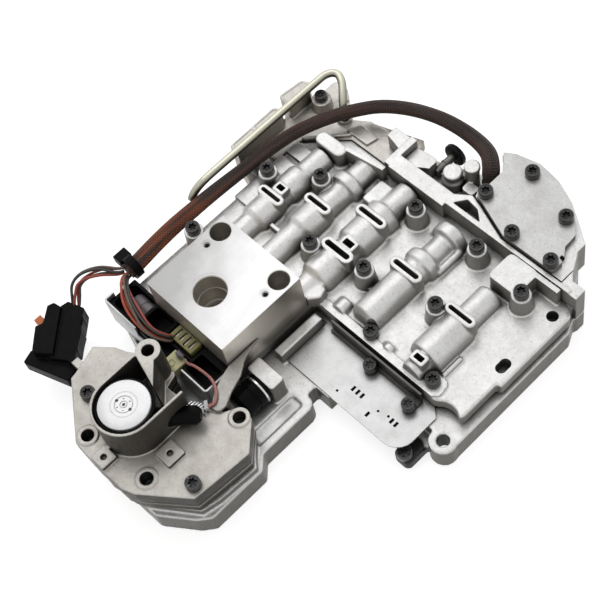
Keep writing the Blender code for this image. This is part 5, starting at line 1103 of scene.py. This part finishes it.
# Harness connector
PLUG_OUTLINE = [
    (-0.1199, -0.1195, 0.001), (-0.1184, -0.1149, 0.002), (-0.1122, -0.1137), (-0.1039, -0.1232),
    (-0.0885, -0.1400), (-0.1004, -0.1486, 0.001), (-0.1139, -0.1349, 0.001), (-0.1116, -0.1299)]
SHELL_OUTLINE = [
    (-0.1147, -0.1131), (-0.1137, -0.1073, 0.001), (-0.1010, -0.1030, 0.0015), (-0.0932, -0.1140, 0.001),
    (-0.0895, -0.1150, 0.001), (-0.0790, -0.1290, 0.001), (-0.0760, -0.1340), (-0.0893, -0.1430),
    (-0.1063, -0.1240)]
BASE_OUTLINE = [
    (-0.1067, -0.1475, 0.001), (-0.0931, -0.1400), (-0.0790, -0.1315, 0.001), (-0.0725, -0.1335),
    (-0.0698, -0.1450, 0.001), (-0.1035, -0.1568, 0.0015)]
COLLAR_OUTLINE = [
    (-0.1175, -0.1180), (-0.1150, -0.1110), (-0.1000, -0.1048), (-0.0800, -0.1270), (-0.0900, -0.1420),
    (-0.1010, -0.1480), (-0.1130, -0.1380), (-0.1165, -0.1270)]
LOCK_BOX = (-0.1252, -0.1116, -0.1321, -0.1259, 0.0254, 0.0312)
TAB_BOX = (-0.0797, -0.0649, -0.1362, -0.1313, 0.0262, 0.0376)


def harness_connector(finishes):
    """The black connector, with a pocket for its orange lock."""
    shape = Shape()
    shape.slab(rounded(PLUG_OUTLINE), 0.0300, 0.0376)
    shape.slab(rounded(SHELL_OUTLINE), 0.0215, 0.0345)
    shape.slab(rounded(COLLAR_OUTLINE), 0.0205, 0.0325)
    shape.slab(rounded(BASE_OUTLINE), 0.0200, 0.0300)
    for share in (0.2, 0.4, 0.6, 0.8):
        x, y = np.array((-0.1010, -0.1030)) * (1 - share) + np.array((-0.0790, -0.1290)) * share
        shape.slab(circle(x - 0.6 * MM, y - 0.6 * MM, 1.1 * MM, 20), 0.0215, 0.0343)
    piece = melted(shape.mesh_object("connector_body"), 0.35 * MM, 3)
    thinned(piece, 40000)
    tab = Shape().slab(rounded(rectangle(*TAB_BOX[:4])), *TAB_BOX[4:])
    pocket = Shape().slab(rounded(rectangle(*LOCK_BOX[:4])), *LOCK_BOX[4:])
    carved(carved(piece, tab, "UNION"), pocket)
    placed(piece, finishes["black_plastic"], "black_plastic", "harness_connector")


# Steel tray, the switch housing in it, its terminal block and the cream connector
TRAY = (-0.0900, 0.0130, -0.0922, -0.0668)
TRAY_FOOT = 0.0183
TRAY_TOP = 0.0440
TRAY_WALL = 0.0016
TRAY_DIP = (-0.0570, -0.0115, 0.0330)
HOUSING_TOP = 0.0400
TERMINALS = 4
TERMINAL_START = -0.0335
TERMINAL_STEP = 0.0045


def steel_tray(finishes):
    """The bent tray, whose front wall has a dip."""
    left, right, front, back = TRAY
    wall, end = TRAY_WALL, TRAY[2] + 8.5 * MM
    shape = Shape().slab(rounded([(left, back), (left, front, 2.6 * MM), (right, front, 2.6 * MM),
                                  (right, back)]), TRAY_FOOT, TRAY_FOOT + wall)
    around = rounded([(left, end), (left, front, 2.6 * MM), (right, front, 2.6 * MM), (right, back),
                      (right - wall, back), (right - wall, front + wall, 1 * MM),
                      (left + wall, front + wall, 1 * MM), (left + wall, end)])
    piece = shape.mesh_object("tray_sheet")
    carved(piece, Shape().slab(around, TRAY_FOOT + 0.4 * MM, TRAY_TOP), "UNION")
    dip_left, dip_right, dip = TRAY_DIP
    mouth = rectangle(dip_left, dip_right, front - MM, front + wall + MM)
    carved(piece, Shape().slab(mouth, dip, 0.05))
    edged(piece, 0.45 * MM, 40)
    placed(piece, finishes["steel_sheet"], "steel_sheet", "steel_tray", angle=30)


def switch_housing(finishes):
    """Black housing with its pockets, the round coil in one, and the olive terminal block."""
    left, right, front, back = TRAY[0] + 1.9 * MM, TRAY[1] - 1.9 * MM, TRAY[2] + 1.9 * MM, TRAY[3]
    foot = 0.0202
    body = Shape().slab(rounded(rectangle(left, right, front, back, 1 * MM)), foot, HOUSING_TOP)
    body = body.mesh_object("switch_body")
    pockets = Shape()
    for corners, deep in (
            (rectangle(-0.0600, -0.0425, -0.0870, -0.0700, 0.002), 12),
            (rectangle(-0.0855, -0.0620, -0.0885, -0.0690, 0.003), 9),
            (rectangle(-0.0120, 0.0080, -0.0885, -0.0740, 0.002), 14),
            (rectangle(-0.0390, -0.0140, -0.0950, -0.0825, 0.0005), 7),
            (rectangle(-0.0400, -0.0140, -0.0810, -0.0684, 0.0008), 3)):
        pockets.slab(rounded(corners), HOUSING_TOP - deep * MM, HOUSING_TOP + MM)
    carved(body, pockets)
    edged(body, 0.35 * MM)
    placed(body, finishes["black_plastic"], "black_plastic", "switch_housing", angle=30)
    coil = Shape()
    coil.turned([(-0.0790, 3.5 * MM), (-0.0785, 5.6 * MM), (-0.0770, 6.4 * MM), (-0.0700, 6.4 * MM),
                 (-0.0695, 5.9 * MM), (-0.0680, 5.9 * MM), (-0.0675, 6.4 * MM), (-0.0630, 6.4 * MM)],
                (0, -0.0755, 0.0330), "X", 48)
    placed(coil.mesh_object("switch_coil"), finishes["coil"], "black_plastic", angle=40)
    outline = rounded(rectangle(-0.0372, -0.0160, -0.0795, -0.0698, 0.0006))
    block = Shape().slab(outline, HOUSING_TOP - 2.8 * MM, 0.0425).mesh_object("terminal_block")
    slots = Shape()
    for step in range(TERMINALS):
        x = TERMINAL_START + step * TERMINAL_STEP
        slots.slab(rectangle(x - 1.0 * MM, x + 1.0 * MM, -0.0785 + (step % 2) * MM, -0.0708),
                   0.0400, 0.05)
    carved(block, slots)
    edged(block, 0.25 * MM)
    placed(block, finishes["olive"], "cream_plastic", "switch_housing", angle=30)
    contacts = Shape()
    for step in range(TERMINALS):
        x = TERMINAL_START + step * TERMINAL_STEP
        contacts.slab(rectangle(x - 0.3 * MM, x + 0.3 * MM, -0.0775, -0.0715), 0.0398, 0.0412)
    placed(contacts.mesh_object("terminal_contacts"), finishes["bright_steel"], "bright_steel")


def cream_connector(finishes):
    """The small plug of the pink wire, with a square boss in a recess."""
    left, right, front, back = -0.0262, -0.0146, -0.0972, -0.0838
    body = Shape().slab(rounded(rectangle(left, right, front, back, 0.0008)), 0.0333, 0.0418)
    body = body.mesh_object("cream_plug")
    cuts = Shape()
    middle_x, middle_y = (left + right) / 2, -0.0925
    ring = rounded(rectangle(middle_x - 2.6 * MM, middle_x + 2.6 * MM, middle_y - 2.6 * MM,
                             middle_y + 2.6 * MM, 0.8 * MM))
    cuts.slab(ring, 0.0412, 0.05)
    cuts.slab(rectangle(middle_x - 3.2 * MM, middle_x + 3.2 * MM, back - 2.2 * MM, back + MM),
              0.0400, 0.05)
    carved(body, cuts)
    boss = Shape().slab(rounded(rectangle(middle_x - 1.4 * MM, middle_x + 1.4 * MM, middle_y - 1.4 * MM,
                                          middle_y + 1.4 * MM, 0.4 * MM)), 0.0408, 0.0418)
    carved(body, boss, "UNION")
    edged(body, 0.25 * MM)
    placed(body, finishes["cream_plastic"], "cream_plastic", "cream_connector", angle=30)


# Clip at the far end of the pink wire
TAB_OUTLINE = [(0.0085, -0.1068), (0.0100, -0.1085), (0.0215, -0.1030), (0.0225, -0.0995), (0.0180, -0.0985)]
RIB_OUTLINE = [(-0.7, 0.5), (-0.2, -0.9), (0.5, -0.6), (0.9, 4.2), (0.2, 4.4)]
CLIP_PARTS = [
    ([(0.0185, -0.0975), (0.0197, -0.0955), (0.0245, -0.0985), (0.0235, -0.1008)], 3.8),
    ([(0.0205, -0.1020), (0.0235, -0.1035), (0.0242, -0.1022), (0.0212, -0.1007)], 3.4)]


def wire_terminal(finishes):
    """The ribbed metal tab and the clear clip on it."""
    foot = COVER_TOP + 0.3 * MM
    tab = Shape().slab(TAB_OUTLINE, foot, foot + 1.2 * MM)
    for step in range(5):
        x, y = 0.0120 + step * 0.0019, -0.1062 + step * 0.0011
        rib = [(x + right * MM, y + back * MM) for right, back in RIB_OUTLINE]
        tab.slab(rib, foot + 1 * MM, foot + 2.4 * MM)
    tab = melted(tab.mesh_object("terminal_tab"), 0.25 * MM, 2)
    placed(thinned(tab, 12000), finishes["bright_steel"], "bright_steel")
    clip = Shape()
    for outline, rise in CLIP_PARTS:
        clip.slab(outline, foot + 0.6 * MM, foot + rise * MM)
    placed(clip.mesh_object("terminal_clip"), finishes["clear"], "white_plastic", "wire_terminal")


# Steel tube
TUBE_ROUTE = [
    (-0.1072, 0.0020, 0.0385), (-0.1071, 0.0050, 0.0425), (-0.1062, 0.0110, 0.0468),
    (-0.1053, 0.0200, 0.0493), (-0.1049, 0.0400, 0.0500), (-0.1049, 0.0800, 0.0500),
    (-0.1049, 0.1200, 0.0500), (-0.1040, 0.1320, 0.0500), (-0.0990, 0.1372, 0.0495),
    (-0.0915, 0.1345, 0.0480), (-0.0830, 0.1262, 0.0430), (-0.0785, 0.1217, 0.0350),
    (-0.0782, 0.1213, 0.0250)]
TUBE_RADIUS = 0.0029


def swept_piece(name, points, radius, sides, step):
    """A round cord or tube along a route."""
    shape = Shape()
    swept(shape.bm, frames_along(smooth_route(points, step)), lambda distance, turn: radius, sides)
    return shape.mesh_object(name)


# Lock-up solenoid
def lockup_solenoid(finishes):
    """The round black body and its chrome ring."""
    x, height, front, back = 0.0285, 0.0288, -0.0820, -0.0615
    body = Shape().turned([(front, 7.4 * MM), (front + 0.6 * MM, 8.6 * MM), (front + 2.5 * MM, 10.2 * MM),
                           (-0.0720, 10.2 * MM), (-0.0716, 9.7 * MM), (-0.0706, 9.7 * MM),
                           (-0.0702, 10.2 * MM), (back, 10.2 * MM)], (x, 0, height), "Y", 96)
    placed(body.mesh_object("lockup_body"), finishes["black_plastic"], "black_plastic", "lockup_solenoid",
           angle=30)
    ring = Shape().turned([(-0.0656, 10.25 * MM), (-0.0652, 10.8 * MM), (-0.0640, 10.8 * MM),
                           (-0.0636, 10.25 * MM)], (x, 0, height), "Y", 96)
    placed(ring.mesh_object("lockup_ring"), finishes["bright_steel"], "bright_steel", angle=40)


# Dark screws on the side casting, on the ledge and under the leg: X, Y, top and radius in mm
SMALL_SCREWS = [
    (*SIDE_BOSS, 0.0447, 4.4), (0.0690, -0.0040, 0.0282, 4.5), (0.1060, -0.0075, 0.0282, 4.5),
    (0.1220, -0.0290, 0.0143, 5.3)]


def small_screws(finish):
    """The four small screws, each turned by its own angle."""
    for number, (x, y, top, radius) in enumerate(SMALL_SCREWS):
        mesh = screw_mesh(radius * MM, 4.9 * MM, 1.4 * MM)
        piece = link(bpy.data.objects.new(f"ledge_screw_{number + 1}", mesh))
        mesh.transform(Matrix.Translation((x, y, top)) @ Matrix.Rotation(number * 1.1, 4, "Z"))
        placed(piece, finish, "dark_screw_steel", angle=40)


# Stack of the accumulators under its cover
STACK_OUTLINE = [
    (-0.0675, -0.1195), (-0.0560, -0.1100), (-0.0480, -0.1070), (-0.0300, -0.0960, 0.003),
    (-0.0110, -0.0960, 0.003), (-0.0080, -0.1060), (0.0150, -0.1040), (0.0300, -0.0960),
    (0.0370, -0.0835, 0.004), (0.0480, -0.0840, 0.004), (0.0585, -0.0954), (0.0643, -0.1015),
    (0.0623, -0.1310), (0.0610, -0.1445), (0.0315, -0.1675), (0.0230, -0.1708), (-0.0046, -0.1718),
    (-0.0230, -0.1708), (-0.0605, -0.1440), (-0.0612, -0.1400)]
STACK_HOLES = [(0.0420, -0.0892, 4.2), (0.0292, -0.1557, 4.5), (-0.0208, -0.1623, 4.3)]


def scaled(corners, share):
    """An outline drawn in about its middle."""
    middle = [sum(corner[axis] for corner in corners) / len(corners) for axis in (0, 1)]
    return [(*(middle[axis] + (corner[axis] - middle[axis]) * share for axis in (0, 1)), *corner[2:])
            for corner in corners]


def stack_holes(low, high):
    """The three bolt holes through the stack."""
    holes = Shape()
    for x, y, radius in STACK_HOLES:
        holes.turned([(low - MM, radius * MM), (high + MM, radius * MM)], (x, y, 0), sides=40)
    return holes


def accumulator_stack(finishes):
    """Two plates with a groove between them, and a gasket line under the cover."""
    low, high = (corner.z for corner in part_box("accumulator_body"))
    middle = low + 0.45 * (high - low)
    shape = Shape()
    for share, foot, top in ((0.984, low, middle - 0.4 * MM), (0.980, middle + 0.4 * MM, high - 0.8 * MM)):
        shape.slab(rounded(scaled(STACK_OUTLINE, share)), foot, top)
    seams = Shape()
    for foot, top in ((middle - 0.4 * MM, middle + 0.4 * MM), (high - 0.8 * MM, high)):
        seams.slab(rounded(scaled(STACK_OUTLINE, 0.968)), foot, top)
    plates = carved(shape.mesh_object("accumulator_plates"), stack_holes(low, high))
    edged(plates, 0.3 * MM)
    placed(plates, finishes["cast_aluminium_warm"], "cast_aluminium_warm", "accumulator_body")
    seams = carved(seams.mesh_object("accumulator_seams"), stack_holes(low, high))
    placed(seams, finishes["black_rubber"], "black_rubber")


def tongue_gasket_shade(finish):
    """Dark gasket sheet under the plate's tongue, which shows through its slots: partly a real gasket,
    partly painted shade in the slots.
    """
    sheet = Shape().slab(rectangle(0.0560, 0.1150, -0.0320, -0.0170), 0.01808, 0.01822)
    placed(sheet.mesh_object("tongue_gasket_shade"), finish, "black_rubber")


# CAD nodes with a finish of their own, and widths of their round edges in mm
# The ledge strip's dark finish is painted shade.
DRESSED = {"ledge_strip": "ledge", "rear_cover": "rear_cover"}
BEVELS = {"rear_cover": 0.4, "separator_plate": 0.2}


def dress(node, finishes):
    """Gives a CAD node its finish and rounds its edges."""
    piece = NODES[node]
    finish = piece.material_slots[0].material.name.split(".")[0]
    piece.material_slots[0].material = finishes[DRESSED.get(node, finish)]
    weld = piece.modifiers.new("weld", "WELD")
    weld.merge_threshold = 0.005 * MM
    bevel = piece.modifiers.new("bevel", "BEVEL")
    bevel.width = BEVELS.get(node, 0.3) * MM
    bevel.segments = 2
    bevel.limit_method = "ANGLE"
    bevel.angle_limit = math.radians(38)
    bevel.harden_normals = True


set_camera()
set_studio()
FINISHES = make_finishes()
for name in NODES:
    dress(name, FINISHES)

cast, warm = FINISHES["cast_aluminium"], FINISHES["cast_aluminium_warm"]
upper_casting(cast)
soft_copy("lower_housing", FINISHES["lower_casting"], "cast_aluminium", 0.7 * MM, 3, 120000)
soft_copy("accumulator_cover", warm, "cast_aluminium_warm", 0.4 * MM, 3, 70000)
accumulator_stack(FINISHES)
tongue_gasket_shade(FINISHES["black_rubber"])
soft_copy("bridge_casting", cast, "cast_aluminium", 0.4 * MM, 3, 70000)
side_casting(FINISHES)
rear_housing(FINISHES)
screws(FINISHES["dark_screw_steel"])
sleeve(FINISHES["brown_braid"])
suction_block(FINISHES)
solenoid(FINISHES)
harness_connector(FINISHES)
steel_tray(FINISHES)
switch_housing(FINISHES)
cream_connector(FINISHES)
wire_terminal(FINISHES)
lockup_solenoid(FINISHES)
small_screws(FINISHES["dark_screw_steel"])
placed(swept_piece("satin_tube", TUBE_ROUTE, TUBE_RADIUS, 40, 1.0 * MM), FINISHES["tube"], "steel_sheet",
       "steel_tube", angle=60)
bunch("connector_wire_bunch", CONNECTOR_WIRES, "connector_wires", FINISHES["wire_insulation"],
      "wire_insulation", 5, 0.95 * MM, 3.4 * MM, 1.6 * MM, 45.0)
bunch("housing_wire_bunch", HOUSING_WIRES, "housing_wires", FINISHES["wire_insulation"],
      "wire_insulation", 6, 0.95 * MM, 3.6 * MM, 1.6 * MM, 28.0)
bunch("pink_wire_skin", PINK_ROUTE, "pink_wire", FINISHES["pink_insulation"], "pink_insulation", 1,
      1.0 * MM, 0.0, 0.0)
placed(swept_piece("pink_wire_sleeve", PINK_SLEEVE, 1.9 * MM, 24, 0.5 * MM), FINISHES["coil"],
       "wire_insulation", angle=60)
